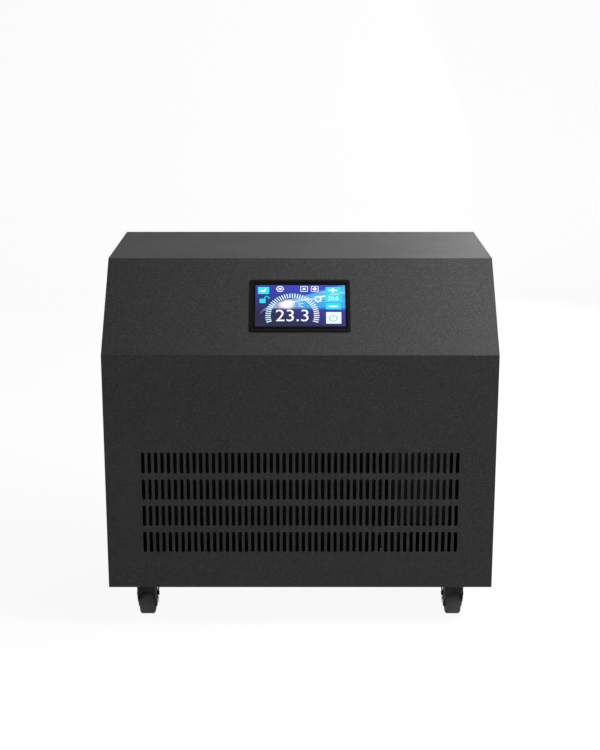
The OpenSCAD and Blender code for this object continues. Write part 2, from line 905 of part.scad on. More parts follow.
module wheel_hub() {
    bore_r = axle_d / 2 + run_fit;
    end_x = fork_gap / 2 - seat_gap;
    barrel_x = tyre_body_w / 2 - hub_barrel_inset;
    rim_x = tyre_body_w / 2 - hub_rim_inset;
    rim_r = wheel_r - tyre_t;
    about_axle() {
        translate([bore_r, -end_x]) square([hub_spacer_t, 2 * end_x]);
        translate([bore_r, -barrel_x]) square([hub_barrel_d / 2 - bore_r, 2 * barrel_x]);
        translate([bore_r, -hub_web_t / 2]) square([rim_r - bore_r, hub_web_t]);
        translate([rim_r - hub_rim_t, -rim_x]) square([hub_rim_t, 2 * rim_x]);
    }
}

module wheel_tyre() {
    shoulder_x = tyre_body_w / 2 - tyre_shoulder_r;
    depth = tyre_t - run_fit;
    about_axle() {
        translate([wheel_r - depth, -tyre_body_w / 2]) square([depth - tyre_shoulder_r, tyre_body_w]);
        translate([wheel_r - depth, -shoulder_x]) square([depth, 2 * shoulder_x]);
        for (s = [-1, 1])
            translate([wheel_r - tyre_shoulder_r, s * shoulder_x]) circle(tyre_shoulder_r);
    }
}

// Pressed lever: two tabs outside the fork's legs, joined by a pedal behind the wheel
module brake_lever() {
    pad_r = wheel_r + brake_pad_gap;
    pad = [castor_trail + pad_r * cos(brake_pad_a), wheel_r + pad_r * sin(brake_pad_a)];
    along = [cos(brake_pedal_a), sin(brake_pedal_a)];
    across = [-sin(brake_pedal_a), cos(brake_pedal_a)];
    pivot = [brake_pivot_y, brake_pivot_z];
    difference() {
        union() {
            for (s = [-1, 1]) mirror([s < 0 ? 1 : 0, 0, 0])
                sideways(brake_tab_x, brake_tab_t) union() {
                    translate(pivot) circle(brake_tab_r);
                    polygon([
                        pivot - brake_tab_r * across,
                        pad,
                        pad + brake_pedal_l / 2 * along,
                        pad + brake_pedal_l / 2 * along + brake_pedal_t * across,
                        pivot + brake_tab_r * across
                    ]);
                }
            sideways(-brake_lever_x, 2 * brake_lever_x) polygon([
                pad,
                pad + brake_pedal_l * along,
                pad + brake_pedal_l * along + brake_pedal_t * across,
                pad + brake_pedal_t * across
            ]);
        }
        translate([0, brake_pivot_y, brake_pivot_z])
            bar_x(-fork_w, fork_w, brake_pin_d + 2 * run_fit);
    }
}

module at_castor(side, y) {
    translate([side * castor_x, y, 0]) children();
}

fork_colour = [0.16, 0.16, 0.17];
axle_colour = [0.5, 0.5, 0.52];
hub_colour = [0.12, 0.12, 0.12];
tyre_colour = [0.22, 0.22, 0.23];
lever_colour = [0.1, 0.1, 0.1];

module front_left_castor_fork() {
    color(fork_colour) at_castor(-1, castor_front_y) castor_fork(true);
}

module front_left_castor_axle() {
    color(axle_colour) at_castor(-1, castor_front_y) castor_axle();
}

module front_left_wheel_hub() {
    color(hub_colour) at_castor(-1, castor_front_y) wheel_hub();
}

module front_left_wheel_tyre() {
    color(tyre_colour) at_castor(-1, castor_front_y) wheel_tyre();
}

module front_right_castor_fork() {
    color(fork_colour) at_castor(1, castor_front_y) castor_fork(true);
}

module front_right_castor_axle() {
    color(axle_colour) at_castor(1, castor_front_y) castor_axle();
}

module front_right_wheel_hub() {
    color(hub_colour) at_castor(1, castor_front_y) wheel_hub();
}

module front_right_wheel_tyre() {
    color(tyre_colour) at_castor(1, castor_front_y) wheel_tyre();
}

module rear_left_castor_fork() {
    color(fork_colour) at_castor(-1, castor_rear_y) castor_fork(false);
}

module rear_left_castor_axle() {
    color(axle_colour) at_castor(-1, castor_rear_y) castor_axle();
}

module rear_left_wheel_hub() {
    color(hub_colour) at_castor(-1, castor_rear_y) wheel_hub();
}

module rear_left_wheel_tyre() {
    color(tyre_colour) at_castor(-1, castor_rear_y) wheel_tyre();
}

module rear_right_castor_fork() {
    color(fork_colour) at_castor(1, castor_rear_y) castor_fork(false);
}

module rear_right_castor_axle() {
    color(axle_colour) at_castor(1, castor_rear_y) castor_axle();
}

module rear_right_wheel_hub() {
    color(hub_colour) at_castor(1, castor_rear_y) wheel_hub();
}

module rear_right_wheel_tyre() {
    color(tyre_colour) at_castor(1, castor_rear_y) wheel_tyre();
}

module front_left_brake_lever() {
    color(lever_colour) at_castor(-1, castor_front_y) brake_lever();
}

module front_right_brake_lever() {
    color(lever_colour) at_castor(1, castor_front_y) brake_lever();
}

// Air side

// Upright fins joined by the rows of tube that run through them
module condenser_fins() {
    count = floor((condenser_w - fin_t) / fin_pitch);
    color([0.1, 0.1, 0.11]) translate([0, 0, condenser_z]) linear_extrude(condenser_h) {
        translate([fan_x, condenser_mid_y])
            square([condenser_w, fin_core_share * condenser_d], center = true);
        for (i = [0 : count])
            translate([fan_x + (i - count / 2) * fin_pitch, condenser_mid_y])
                square([fin_t, condenser_d], center = true);
    }
}

// End plates on the tray, with the return bends of the tube outside them
module condenser_tubes() {
    color([0.12, 0.12, 0.13]) for (s = [-1, 1]) translate([fan_x, condenser_mid_y, 0])
        mirror([s < 0 ? 1 : 0, 0, 0]) translate([condenser_w / 2, 0, 0]) {
            translate([0, -condenser_d / 2, tray_top])
                cube([end_plate_t, condenser_d, condenser_up + condenser_h]);
            for (i = [0 : bend_count - 1])
                translate([end_plate_t, 0, condenser_z + bend_first_up + 2 * i * bend_pitch])
                    rotate([90, 0, 0]) rotate([0, 0, -90]) rotate_extrude(angle = 180)
                        translate([bend_pitch / 2, 0]) circle(d = condenser_tube_d);
        }
}

module fan_shroud() {
    low = condenser_z;
    color([0.2, 0.2, 0.21]) difference() {
        union() {
            facing(shroud_y, shroud_t) translate([fan_x - condenser_w / 2, low])
                square([condenser_w, condenser_h]);
            facing(shroud_y - plenum_d + seat_gap, plenum_d - seat_gap) difference() {
                translate([fan_x - condenser_w / 2, low]) square([condenser_w, condenser_h]);
                translate([fan_x - condenser_w / 2 + shroud_t, low + shroud_t])
                    square([condenser_w - 2 * shroud_t, condenser_h - 2 * shroud_t]);
            }
            facing(shroud_y, fan_ring_d) translate([fan_x, fan_z])
                circle(fan_ring_r + shroud_t);
            for (s = [-1, 1]) translate([fan_x + s * condenser_w / 4 - bulkhead_foot_w / 2,
                shroud_y, tray_top]) cube([bulkhead_foot_w, shroud_t, condenser_up + shroud_t]);
        }
        translate([fan_x, 0, fan_z])
            bar_y(shroud_y - cut, shroud_y + fan_ring_d + cut, 2 * fan_ring_r);
    }
}

// Motor on a cross of flat bars, held off the shroud by four posts
module fan_motor() {
    reach = fan_ring_r + shroud_t + motor_post_out + motor_post_d / 2;
    color([0.14, 0.14, 0.15]) translate([fan_x, 0, fan_z]) difference() {
        union() {
            for (a = [45, 135]) rotate([0, a, 0])
                translate([-reach, motor_y, -motor_arm_w / 2])
                    cube([2 * reach, motor_arm_t, motor_arm_w]);
            for (a = [45 : 90 : 315]) rotate([0, a, 0]) translate([reach, 0, 0])
                bar_y(shroud_y + shroud_t, motor_y + motor_arm_t, motor_post_d);
            bar_y(motor_y, motor_y + motor_arm_t + motor_l, motor_d);
        }
        bar_y(motor_y - cut, motor_y + motor_socket_l, fan_shaft_d + 2 * run_fit);
    }
}

// Pressed blade: a petal cut from a cambered sheet that is pitched about its own spoke
module fan_blade() {
    root_r = blade_start_share * fan_hub_d / 2;
    span = fan_d / 2 - root_r;
    intersection() {
        translate([0, fan_hub_l / 2, root_r]) linear_extrude(span) rotate(blade_pitch)
            translate([0, -blade_camber_r]) difference() {
                circle(blade_camber_r + blade_t / 2);
                circle(blade_camber_r - blade_t / 2);
            }
        facing(-fan_hub_l, 3 * fan_hub_l) intersection() {
            circle(fan_d / 2);
            polygon([
                [-blade_root_share * span, root_r],
                [blade_root_share * span, root_r],
                [blade_tip_share * span, root_r + span],
                [-blade_tip_share * span, root_r + span]
            ]);
        }
    }
}

module fan_rotor() {
    hub_r = fan_hub_d / 2;
    color([0.5, 0.52, 0.54]) translate([fan_x, fan_y, fan_z]) {
        rotate([-90, 0, 0]) rotate_extrude() polygon([
            [0, 0],
            [fan_hub_dome_share * hub_r, 0],
            [hub_r, (1 - fan_hub_dome_share) * hub_r / 2],
            [hub_r, fan_hub_l],
            [0, fan_hub_l]
        ]);
        bar_y(fan_hub_l / 2, motor_y + motor_socket_l - seat_gap - fan_y, fan_shaft_d);
        for (i = [0 : fan_blades - 1]) rotate([0, i * 360 / fan_blades, 0]) fan_blade();
    }
}

// Cooling circuit

module grommet_places() {
    step = foot_plate_d / 2 - foot_corner_r;
    for (i = [-1, 1], j = [-1, 1])
        translate([compressor_x + i * step, compressor_y + j * step, tray_top]) children();
}

// Welded shell with domed ends on a foot plate, its stubs and its terminal cover
module compressor_shell() {
    r = compressor_d / 2;
    neck_r = r - compressor_dome_h / 2;
    color([0.07, 0.07, 0.07]) difference() {
        union() {
            translate([compressor_x, compressor_y, compressor_z]) rotate_extrude() polygon([
                [0, 0],
                [neck_r, 0],
                [r - compressor_dome_h / 8, compressor_dome_h / 4],
                [r, compressor_dome_h / 2],
                [r, compressor_h - compressor_dome_h],
                [r - compressor_dome_h / 8, compressor_h - compressor_dome_h / 2],
                [neck_r, compressor_h - compressor_dome_h / 8],
                [neck_r - compressor_dome_h, compressor_h],
                [0, compressor_h]
            ]);
            translate([compressor_x, compressor_y, compressor_z - foot_plate_t])
                linear_extrude(foot_plate_t)
                    round_rect(foot_plate_d, foot_plate_d, foot_corner_r);
            translate([discharge_x, compressor_y, compressor_z + compressor_h / 2])
                cylinder(h = compressor_h / 2 + stub_h, d = discharge_d);
            translate([compressor_x, compressor_y - r, compressor_z + compressor_h / 2])
                bar_y(-foot_corner_r, foot_corner_r, foot_plate_d / 2);
        }
        grommet_places() cylinder(h = compressor_up + cut, d = grommet_waist_d + 2 * seat_gap);
    }
}

// Rubber grommets: a foot under the plate, a waist through it and a collar above it
module compressor_grommets() {
    plate_low = compressor_up - foot_plate_t;
    color([0.05, 0.05, 0.05]) grommet_places() rotate_extrude() polygon([
        [grommet_bore / 2, 0],
        [grommet_d / 2, 0],
        [grommet_d / 2, plate_low],
        [grommet_waist_d / 2, plate_low],
        [grommet_waist_d / 2, compressor_up],
        [grommet_d / 2, compressor_up],
        [grommet_waist_d / 2, compressor_up + foot_plate_t],
        [grommet_bore / 2, compressor_up + foot_plate_t]
    ]);
}

module suction_accumulator() {
    r = accumulator_d / 2;
    color([0.08, 0.08, 0.08])
        translate([accumulator_x, accumulator_y, accumulator_z]) rotate_extrude() polygon([
            [0, 0],
            [suction_d / 2, 0],
            [suction_d / 2, accumulator_neck / 2],
            [r, accumulator_neck],
            [r, accumulator_h - accumulator_neck],
            [suction_d / 2, accumulator_h - accumulator_neck / 2],
            [suction_d / 2, accumulator_h],
            [0, accumulator_h]
        ]);
}

// Insulated vessel on three feet, with two water stubs at its back
module evaporator_shell() {
    color([0.13, 0.13, 0.14]) {
        translate([evaporator_x, evaporator_y, evaporator_z])
            cylinder(h = evaporator_h, d = evaporator_d);
        for (a = [90 : 120 : 330])
            translate([evaporator_x, evaporator_y, tray_top]) rotate(a)
                translate([evaporator_d / 2 - evaporator_foot_w, -evaporator_foot_w / 2, 0])
                    cube([evaporator_foot_w - evaporator_foot_t, evaporator_foot_w,
                        2 * evaporator_foot_h]);
        for (z = [feed_z, port_high_z]) translate([evaporator_x, evaporator_y, z])
            bar_y(0, evaporator_d / 2 + stub_out, hose_d);
    }
}

// Clamped cap with the two stubs of the cooling circuit
module evaporator_cap() {
    color([0.2, 0.2, 0.21]) translate([evaporator_x, evaporator_y, evaporator_z + evaporator_h]) {
        rotate_extrude() polygon([
            [0, 0],
            [evaporator_d / 2 + evaporator_cap_lap, 0],
            [evaporator_d / 2 + evaporator_cap_lap, evaporator_cap_h / 2],
            [evaporator_d / 2 - evaporator_cap_h / 2, evaporator_cap_h],
            [0, evaporator_cap_h]
        ]);
        translate([evaporator_stub_x, 0, 0])
            cylinder(h = evaporator_cap_h + stub_out, d = liquid_d + stub_wall);
        translate([-evaporator_stub_x, 0, 0])
            cylinder(h = evaporator_cap_h + stub_out, d = suction_d + stub_wall);
    }
}

module filter_drier() {
    r = drier_d / 2;
    color([0.62, 0.4, 0.24]) translate([liquid_x, liquid_y, drier_z]) rotate_extrude() polygon([
        [0, 0],
        [liquid_d / 2 + pipe_wall, 0],
        [r, r],
        [r, drier_h - r],
        [liquid_d / 2 + pipe_wall, drier_h],
        [0, drier_h]
    ]);
}

module discharge_pipe() {
    color([0.72, 0.42, 0.26]) pipe([
        [discharge_x, compressor_y, compressor_z + compressor_h + stub_h],
        [discharge_x, compressor_y, discharge_z],
        [hot_x, compressor_y, discharge_z],
        [hot_x, condenser_mid_y, discharge_z],
        [hot_x, condenser_mid_y, hot_z],
        [condenser_x1 + end_plate_t, condenser_mid_y, hot_z]
    ], discharge_d, discharge_d - 2 * pipe_wall, pipe_bend);
}

// From the condenser to the drier, and from the drier over to the evaporator
module liquid_pipes() {
    color([0.72, 0.42, 0.26]) {
        pipe([
            [condenser_x1 + end_plate_t, condenser_mid_y, liquid_z],
            [liquid_x, condenser_mid_y, liquid_z],
            [liquid_x, liquid_y, liquid_z],
            [liquid_x, liquid_y, drier_z]
        ], liquid_d, liquid_d - 2 * pipe_wall, pipe_bend);
        pipe([
            [liquid_x, liquid_y, drier_z + drier_h],
            [liquid_x, liquid_y, liquid_run_z],
            [evaporator_x + evaporator_stub_x, liquid_y, liquid_run_z],
            [evaporator_x + evaporator_stub_x, evaporator_y, liquid_run_z],
            [evaporator_x + evaporator_stub_x, evaporator_y, evaporator_top + stub_out]
        ], liquid_d, liquid_d - 2 * pipe_wall, pipe_bend);
    }
}

// From the evaporator to the accumulator, and from its foot into the compressor
module suction_pipes() {
    color([0.1, 0.1, 0.1]) {
        pipe([
            [evaporator_x - evaporator_stub_x, evaporator_y, evaporator_top + stub_out],
            [evaporator_x - evaporator_stub_x, evaporator_y, suction_run_z],
            [evaporator_x - evaporator_stub_x, accumulator_y, suction_run_z],
            [accumulator_x, accumulator_y, suction_run_z],
            [accumulator_x, accumulator_y, accumulator_z + accumulator_h]
        ], suction_d, suction_d - 2 * pipe_wall, pipe_bend);
        pipe([
            [accumulator_x, accumulator_y, accumulator_z],
            [accumulator_x, accumulator_y, accumulator_z - suction_low],
            [compressor_x, accumulator_y, accumulator_z - suction_low],
            [compressor_x, compressor_y + compressor_d / 2, accumulator_z - suction_low]
        ], suction_d, suction_d - 2 * pipe_wall, pipe_bend);
    }
}

// Water side

// Threaded port through the rear panel, with its flange outside and a hose tail inside
module water_union(z) {
    translate([port_x, 0, z]) difference() {
        union() {
            bar_y(port_tail_y + port_tail_l, back_y + port_reach, port_d);
            bar_y(port_tail_y, port_tail_y + port_tail_l + cut, hose_d);
            translate([0, back_y + port_flange_t, 0]) rotate([90, 0, 0])
                linear_extrude(port_flange_t) hexagon(port_hex);
        }
        bar_y(port_tail_y - cut, back_y + port_reach + cut, port_bore);
    }
}

module water_inlet_union() {
    color([0.75, 0.62, 0.35]) water_union(port_low_z);
}

module water_outlet_union() {
    color([0.75, 0.62, 0.35]) water_union(port_high_z);
}

module port_nuts() {
    color([0.7, 0.58, 0.33]) for (z = [port_low_z, port_high_z])
        facing(back_in - port_nut_t, port_nut_t) translate([port_x, z]) difference() {
            hexagon(port_hex);
            circle(d = port_d + 2 * run_fit);
        }
}

module water_hoses() {
    color([0.09, 0.09, 0.1]) {
        pipe([
            [port_x, port_tail_y, port_low_z],
            [port_x, pump_y, port_low_z],
            [pump_x - casing_w / 2 - pump_eye_l, pump_y, port_low_z]
        ], hose_d, hose_bore, hose_bend);
        pipe([
            [pump_x, pump_y, pump_z + pump_casing_d / 2 + pump_eye_l],
            [pump_x, pump_y, feed_z],
            [port_x, pump_y, feed_z],
            [port_x, evaporator_y + evaporator_d / 2 + stub_out, feed_z]
        ], hose_d, hose_bore, hose_bend);
        pipe_run(
            [port_x, evaporator_y + evaporator_d / 2 + stub_out, port_high_z],
            [port_x, port_tail_y, port_high_z], hose_d, hose_bore);
    }
}

// Casing with its suction eye and its delivery stub, open towards the motor
module pump_volute() {
    inner_d = pump_casing_d - 2 * casing_wall;
    color([0.1, 0.1, 0.11]) translate([pump_x, pump_y, pump_z]) difference() {
        union() {
            bar_x(-casing_w / 2, casing_w / 2, pump_casing_d);
            bar_x(-casing_w / 2 - pump_eye_l, 0, hose_d);
            cylinder(h = pump_casing_d / 2 + pump_eye_l, d = hose_d);
        }
        bar_x(-casing_w / 2 + casing_wall, casing_w / 2 + cut, inner_d);
        bar_x(-casing_w / 2 - pump_eye_l - cut, 0, hose_bore);
        cylinder(h = pump_casing_d / 2 + pump_eye_l + cut, d = hose_bore);
    }
}

// Open impeller with bent vanes on a disc, on the motor's shaft
module pump_impeller() {
    r = pump_casing_d / 2 - casing_wall - 2 * impeller_gap;
    disc_x = casing_w / 2 - impeller_gap - impeller_disc_t;
    vane_x = -casing_w / 2 + casing_wall + impeller_gap;
    color([0.75, 0.75, 0.72]) translate([pump_x, pump_y, pump_z]) {
        bar_x(disc_x, disc_x + impeller_disc_t, 2 * r);
        bar_x(disc_x - impeller_disc_t, casing_w / 2 + pump_motor_l / 3, pump_shaft_d);
        rotate([90, 0, 90]) translate([0, 0, vane_x]) linear_extrude(disc_x - vane_x)
            for (i = [0 : impeller_vanes - 1]) rotate(i * 360 / impeller_vanes)
                intersection() {
                    translate([impeller_eye_d, 0]) difference() {
                        circle(r);
                        circle(r - vane_t);
                    }
                    difference() {
                        circle(r - vane_t);
                        circle(d = impeller_eye_d);
                        translate([-r, 0]) square([2 * r, r]);
                    }
                }
    }
}

// Motor with its mounting face, its feet and its end cover
module pump_motor() {
    start = casing_w / 2 + seat_gap;
    color([0.16, 0.17, 0.19]) translate([pump_x, pump_y, pump_z]) difference() {
        union() {
            bar_x(start, start + casing_wall, pump_casing_d);
            bar_x(start, start + pump_motor_l, pump_motor_d);
            translate([start + pump_motor_l / 4, -pump_foot_w / 2, tray_top - pump_z])
                cube([pump_leg_w, pump_foot_w, pump_foot_t]);
            translate([start + pump_motor_l / 4, -pump_leg_t, tray_top - pump_z])
                cube([pump_leg_w, 2 * pump_leg_t, pump_z - tray_top]);
        }
        bar_x(start - cut, casing_w / 2 + pump_motor_l / 3 + seat_gap,
            pump_shaft_d + 2 * run_fit);
    }
}

// Electrical side

// Folded box on the bulkhead, with posts for the board
module control_box() {
    wall = control_box_wall;
    color([0.32, 0.33, 0.34]) translate([control_box_x, control_box_y, control_box_z]) {
        difference() {
            cube([control_box_w, control_box_d, control_box_h]);
            translate([wall, wall, wall]) cube([
                control_box_w, control_box_d - 2 * wall, control_box_h - 2 * wall]);
        }
        for (y = [board_margin, control_box_d - board_margin],
            z = [board_margin, control_box_h - board_margin])
            translate([0, y, z]) bar_x(wall / 2, wall + board_post_h, board_post_d);
    }
}

module control_box_cover() {
    color([0.32, 0.33, 0.34])
        translate([control_box_x + control_box_w, control_box_y, control_box_z])
            cube([control_box_wall, control_box_d, control_box_h]);
}

module control_board() {
    wall = control_box_wall;
    board_d = control_box_d - 2 * wall - board_margin / 2;
    board_h = control_box_h - 2 * wall - board_margin / 2;
    color([0.05, 0.3, 0.15]) translate([
        control_box_x + wall + board_post_h,
        control_box_y + control_box_d / 2,
        control_box_z + control_box_h / 2
    ]) {
        translate([0, -board_d / 2, -board_h / 2]) cube([board_t, board_d, board_h]);
        for (i = [-1, 0, 1])
            translate([0, i * board_d / 4 - board_d / 12, board_h / 6])
                cube([3 * board_post_h, board_d / 6, board_h / 6]);
        for (i = [-1, 1]) translate([board_t, i * board_d / 5, -board_h / 4])
            bar_x(-board_t / 2, 4 * board_post_h, board_d / 6);
    }
}

// Flanged inlet with a socket and a pocket for the rocker
module power_inlet() {
    body_w = inlet_w - 2 * inlet_border;
    body_h = inlet_h - inlet_border - 2 * seat_gap;
    color([0.06, 0.06, 0.06]) difference() {
        union() {
            facing(back_y, inlet_flange_t) translate([inlet_x, inlet_z])
                square([inlet_w, inlet_h], center = true);
            facing(back_y - inlet_d, inlet_d + inlet_flange_t / 2) translate([inlet_x, inlet_z])
                square([body_w, body_h], center = true);
        }
        difference() {
            facing(back_y + inlet_flange_t - socket_depth, socket_depth + cut)
                translate([inlet_x, socket_z]) square([socket_w, socket_h], center = true);
            for (p = [[-1, -1], [1, -1], [0, 1]]) translate([
                inlet_x + p.x * socket_pin_x_share * socket_w - socket_pin_t / 2,
                back_y + inlet_flange_t - socket_depth,
                socket_z + p.y * socket_pin_z_share * socket_h - socket_pin_w / 2
            ]) cube([socket_pin_t, socket_pin_l, socket_pin_w]);
        }
        facing(back_y - rocker_depth, rocker_depth + inlet_flange_t + cut)
            translate([inlet_x, rocker_z])
                square([rocker_w + 2 * rocker_gap, rocker_h + 2 * rocker_end_gap], center = true);
        translate([inlet_x, back_y + inlet_flange_t - rocker_in, rocker_z]) bar_x(
            -rocker_w / 2 - rocker_gap - rocker_pin_l,
            rocker_w / 2 + rocker_gap + rocker_pin_l,
            rocker_pin_d + 2 * run_fit);
    }
}

// Rocker on two stub pins, its face bent in the middle so that one end stands out
module power_rocker() {
    half = rocker_h / 2;
    rise = half * tan(rocker_tilt);
    color([0.15, 0.02, 0.02])
        translate([inlet_x, back_y + inlet_flange_t - rocker_in, rocker_z]) {
            rotate([rocker_tilt, 0, 0]) sideways(-rocker_w / 2, rocker_w) polygon([
                [rocker_in, 0],
                [rocker_in + rise, half],
                [-rocker_in, half],
                [-rocker_in - rocker_out, 0],
                [-rocker_in, -half],
                [rocker_in + rise, -half]
            ]);
            bar_x(-rocker_w / 2 - rocker_gap - rocker_pin_l + seat_gap,
                rocker_w / 2 + rocker_gap + rocker_pin_l - seat_gap, rocker_pin_d);
        }
}

base_tray();
front_panel();
hood();
left_side_panel();
right_side_panel();
rear_panel();
bulkhead();
cabinet_screws();
display_bezel();
touch_screen();
display_case();
left_handle_cup();
right_handle_cup();
castor_plates();
castor_bolts();
front_left_castor_fork();
front_left_castor_axle();
front_left_wheel_hub();
front_left_wheel_tyre();
front_right_castor_fork();
front_right_castor_axle();
front_right_wheel_hub();
front_right_wheel_tyre();
rear_left_castor_fork();
rear_left_castor_axle();
rear_left_wheel_hub();
rear_left_wheel_tyre();
rear_right_castor_fork();
rear_right_castor_axle();
rear_right_wheel_hub();
rear_right_wheel_tyre();
front_left_brake_lever();
front_right_brake_lever();
condenser_fins();
condenser_tubes();
fan_shroud();
fan_motor();
fan_rotor();
compressor_shell();
compressor_grommets();
suction_accumulator();
evaporator_shell();
evaporator_cap();
pump_volute();
pump_impeller();
pump_motor();
filter_drier();
discharge_pipe();
liquid_pipes();
suction_pipes();
water_hoses();
water_inlet_union();
water_outlet_union();
port_nuts();
control_box();
control_box_cover();
control_board();
power_inlet();
power_rocker();
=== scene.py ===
import math

import bpy
from mathutils import Matrix, Vector


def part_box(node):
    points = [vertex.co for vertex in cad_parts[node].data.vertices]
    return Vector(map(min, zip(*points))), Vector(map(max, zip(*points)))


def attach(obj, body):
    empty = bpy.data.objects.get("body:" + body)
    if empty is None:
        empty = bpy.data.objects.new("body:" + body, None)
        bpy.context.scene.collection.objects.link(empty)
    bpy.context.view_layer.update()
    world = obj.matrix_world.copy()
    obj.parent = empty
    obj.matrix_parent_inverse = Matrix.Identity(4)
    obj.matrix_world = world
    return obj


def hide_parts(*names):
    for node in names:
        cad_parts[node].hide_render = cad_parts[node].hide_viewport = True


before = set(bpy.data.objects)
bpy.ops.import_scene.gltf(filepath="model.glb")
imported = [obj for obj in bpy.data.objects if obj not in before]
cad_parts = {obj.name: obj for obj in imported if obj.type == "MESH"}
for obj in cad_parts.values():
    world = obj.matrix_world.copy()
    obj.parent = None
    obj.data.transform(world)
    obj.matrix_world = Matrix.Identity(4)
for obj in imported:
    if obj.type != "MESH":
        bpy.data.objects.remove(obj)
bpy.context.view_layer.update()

# Studio: a pale floor that runs into a white backdrop, with far white walls on its other
# sides. Three soft lights stand close by on the right, a low one behind the top, and one
# on the left of the camera, which looks down on the front from 2.35 metres away.
camera_at = (-0.0004, -2.5728, 1.0741)
camera_pitch, camera_lens, camera_sensor = 14.87, 70.27, 36
studio_floor_y = (-18.0, 2.6)
studio_floor_drop = 0.0005
studio_width = 36.0
backdrop_height = 3.2
far_wall_height = 4.5
paper_share = 0.93
sky_strength = 0.045

bpy.ops.object.camera_add(
    location=camera_at, rotation=(math.radians(90 - camera_pitch), 0, 0))
camera = bpy.context.object
camera.name = "camera"
camera.data.lens = camera_lens
camera.data.sensor_width = camera_sensor
bpy.context.scene.camera = camera
bpy.context.scene.view_settings.view_transform = "Standard"


class Pattern:
    """A value that varies over a surface, with sums and products of it."""

    def __init__(self, tree, socket):
        self.tree = tree
        self.socket = socket

    def worked(self, operation, first, second):
        """The result of one Math node."""
        return add_node(self.tree, "ShaderNodeMath", {"operation": operation},
                        {0: first, 1: second})

    def __add__(self, other):
        return self.worked("ADD", self, other)

    def __radd__(self, other):
        return self.worked("ADD", other, self)

    def __sub__(self, other):
        return self.worked("SUBTRACT", self, other)

    def __rsub__(self, other):
        return self.worked("SUBTRACT", other, self)

    def __mul__(self, other):
        return self.worked("MULTIPLY", self, other)

    def __rmul__(self, other):
        return self.worked("MULTIPLY", other, self)

    def capped(self, low, high):
        """The value, held between two limits."""
        return add_node(self.tree, "ShaderNodeClamp", {},
                        {"Value": self, "Min": low, "Max": high})


def add_node(tree, kind, settings, values, output=0):
    """Adds a node: its settings first, then the values or links of its sockets."""
    node = tree.nodes.new(kind)
    for key, value in settings.items():
        setattr(node, key, value)
    for key, value in values.items():
        if isinstance(value, Pattern):
            tree.links.new(value.socket, node.inputs[key])
        else:
            node.inputs[key].default_value = value
    return Pattern(tree, node.outputs[output])


def studio_white(name, shown):
    """Pale board, which camera, gloss and glass see as white paper by the share shown."""
    material = bpy.data.materials.new(name)
    material.use_nodes = True
    tree = material.node_tree
    tree.nodes.clear()
    rays = tree.nodes.new("ShaderNodeLightPath")
    seen = [Pattern(tree, rays.outputs[k])
            for k in ("Is Camera Ray", "Is Glossy Ray", "Is Transmission Ray")]
    direct = (seen[0] + seen[1] + seen[2]).capped(0.0, 1.0)
    board = add_node(tree, "ShaderNodeBsdfDiffuse", {}, {"Color": (0.8, 0.8, 0.8, 1)})
    paper = add_node(tree, "ShaderNodeEmission", {}, {"Color": (1, 1, 1, 1), "Strength": 1.0})
    mixed = add_node(tree, "ShaderNodeMixShader", {},
                     {"Fac": direct * shown, 1: board, 2: paper})
    output = tree.nodes.new("ShaderNodeOutputMaterial")
    tree.links.new(mixed.socket, output.inputs["Surface"])
    return material


bpy.ops.object.select_all(action="DESELECT")
bpy.ops.mesh.primitive_plane_add(size=1, location=(0, 0, 0))
floor = bpy.context.object
floor.name = "studio_floor"
floor.scale = (studio_width, studio_floor_y[1] - studio_floor_y[0], 1)
floor.location = (0, sum(studio_floor_y) / 2, -studio_floor_drop)
bpy.ops.object.transform_apply(location=True, rotation=True, scale=True)
bpy.ops.object.mode_set(mode="EDIT")
bpy.ops.mesh.select_all(action="DESELECT")
bpy.ops.object.mode_set(mode="OBJECT")
for edge in floor.data.edges:
    edge.select = all(floor.data.vertices[v].co.y > 0 for v in edge.vertices)
bpy.ops.object.mode_set(mode="EDIT")
bpy.ops.mesh.extrude_region_move(TRANSFORM_OT_translate={"value": (0, 0, backdrop_height)})
bpy.ops.mesh.select_all(action="DESELECT")
bpy.ops.mesh.select_mode(type="EDGE")
bpy.ops.object.mode_set(mode="OBJECT")
for edge in floor.data.edges:
    ends = [floor.data.vertices[v].co for v in edge.vertices]
    edge.select = all(end.z < 0.1 for end in ends) and any(end.y < 0 for end in ends)
bpy.ops.object.mode_set(mode="EDIT")
bpy.ops.mesh.extrude_region_move(TRANSFORM_OT_translate={"value": (0, 0, far_wall_height)})
bpy.ops.mesh.select_mode(type="VERT")
bpy.ops.object.mode_set(mode="OBJECT")
floor.data.materials.append(studio_white("studio_floor", paper_share))

sky = bpy.data.worlds.new("sky")
bpy.context.scene.world = sky
sky.use_nodes = True
sky.node_tree.nodes["Background"].inputs["Color"].default_value = (1, 1, 1, 1)
sky.node_tree.nodes["Background"].inputs["Strength"].default_value = sky_strength


def softbox(name, at, towards, size, strength):
    """A square or oblong lamp at one place, turned towards another, in watts."""
    bpy.ops.object.light_add(type="AREA", location=at)
    lamp = bpy.context.object
    lamp.name = name
    lamp.rotation_euler = (Vector(towards) - Vector(at)).to_track_quat("-Z", "Y").to_euler()
    lamp.data.shape = "RECTANGLE"
    lamp.data.size, lamp.data.size_y = size
    lamp.data.energy = strength


softbox("high_right", (1.1, -0.2, 2.3), (0.1, 0, 0.5), (1.2, 1.2), 18)
softbox("near_right", (1.2, -0.35, 1.4), (0.1, -0.15, 0.5), (0.8, 0.8), 47)
softbox("front_right", (1.0, -0.8, 1.7), (0.1, -0.1, 0.5), (0.8, 0.8), 16)
softbox("behind_right", (1.1, 2.3, 0.95), (0, 0, 0.6), (1.2, 0.8), 40)
softbox("front_left", (-1.8, -2.4, 1.2), (0, 0, 0.4), (1.2, 1.2), 20)
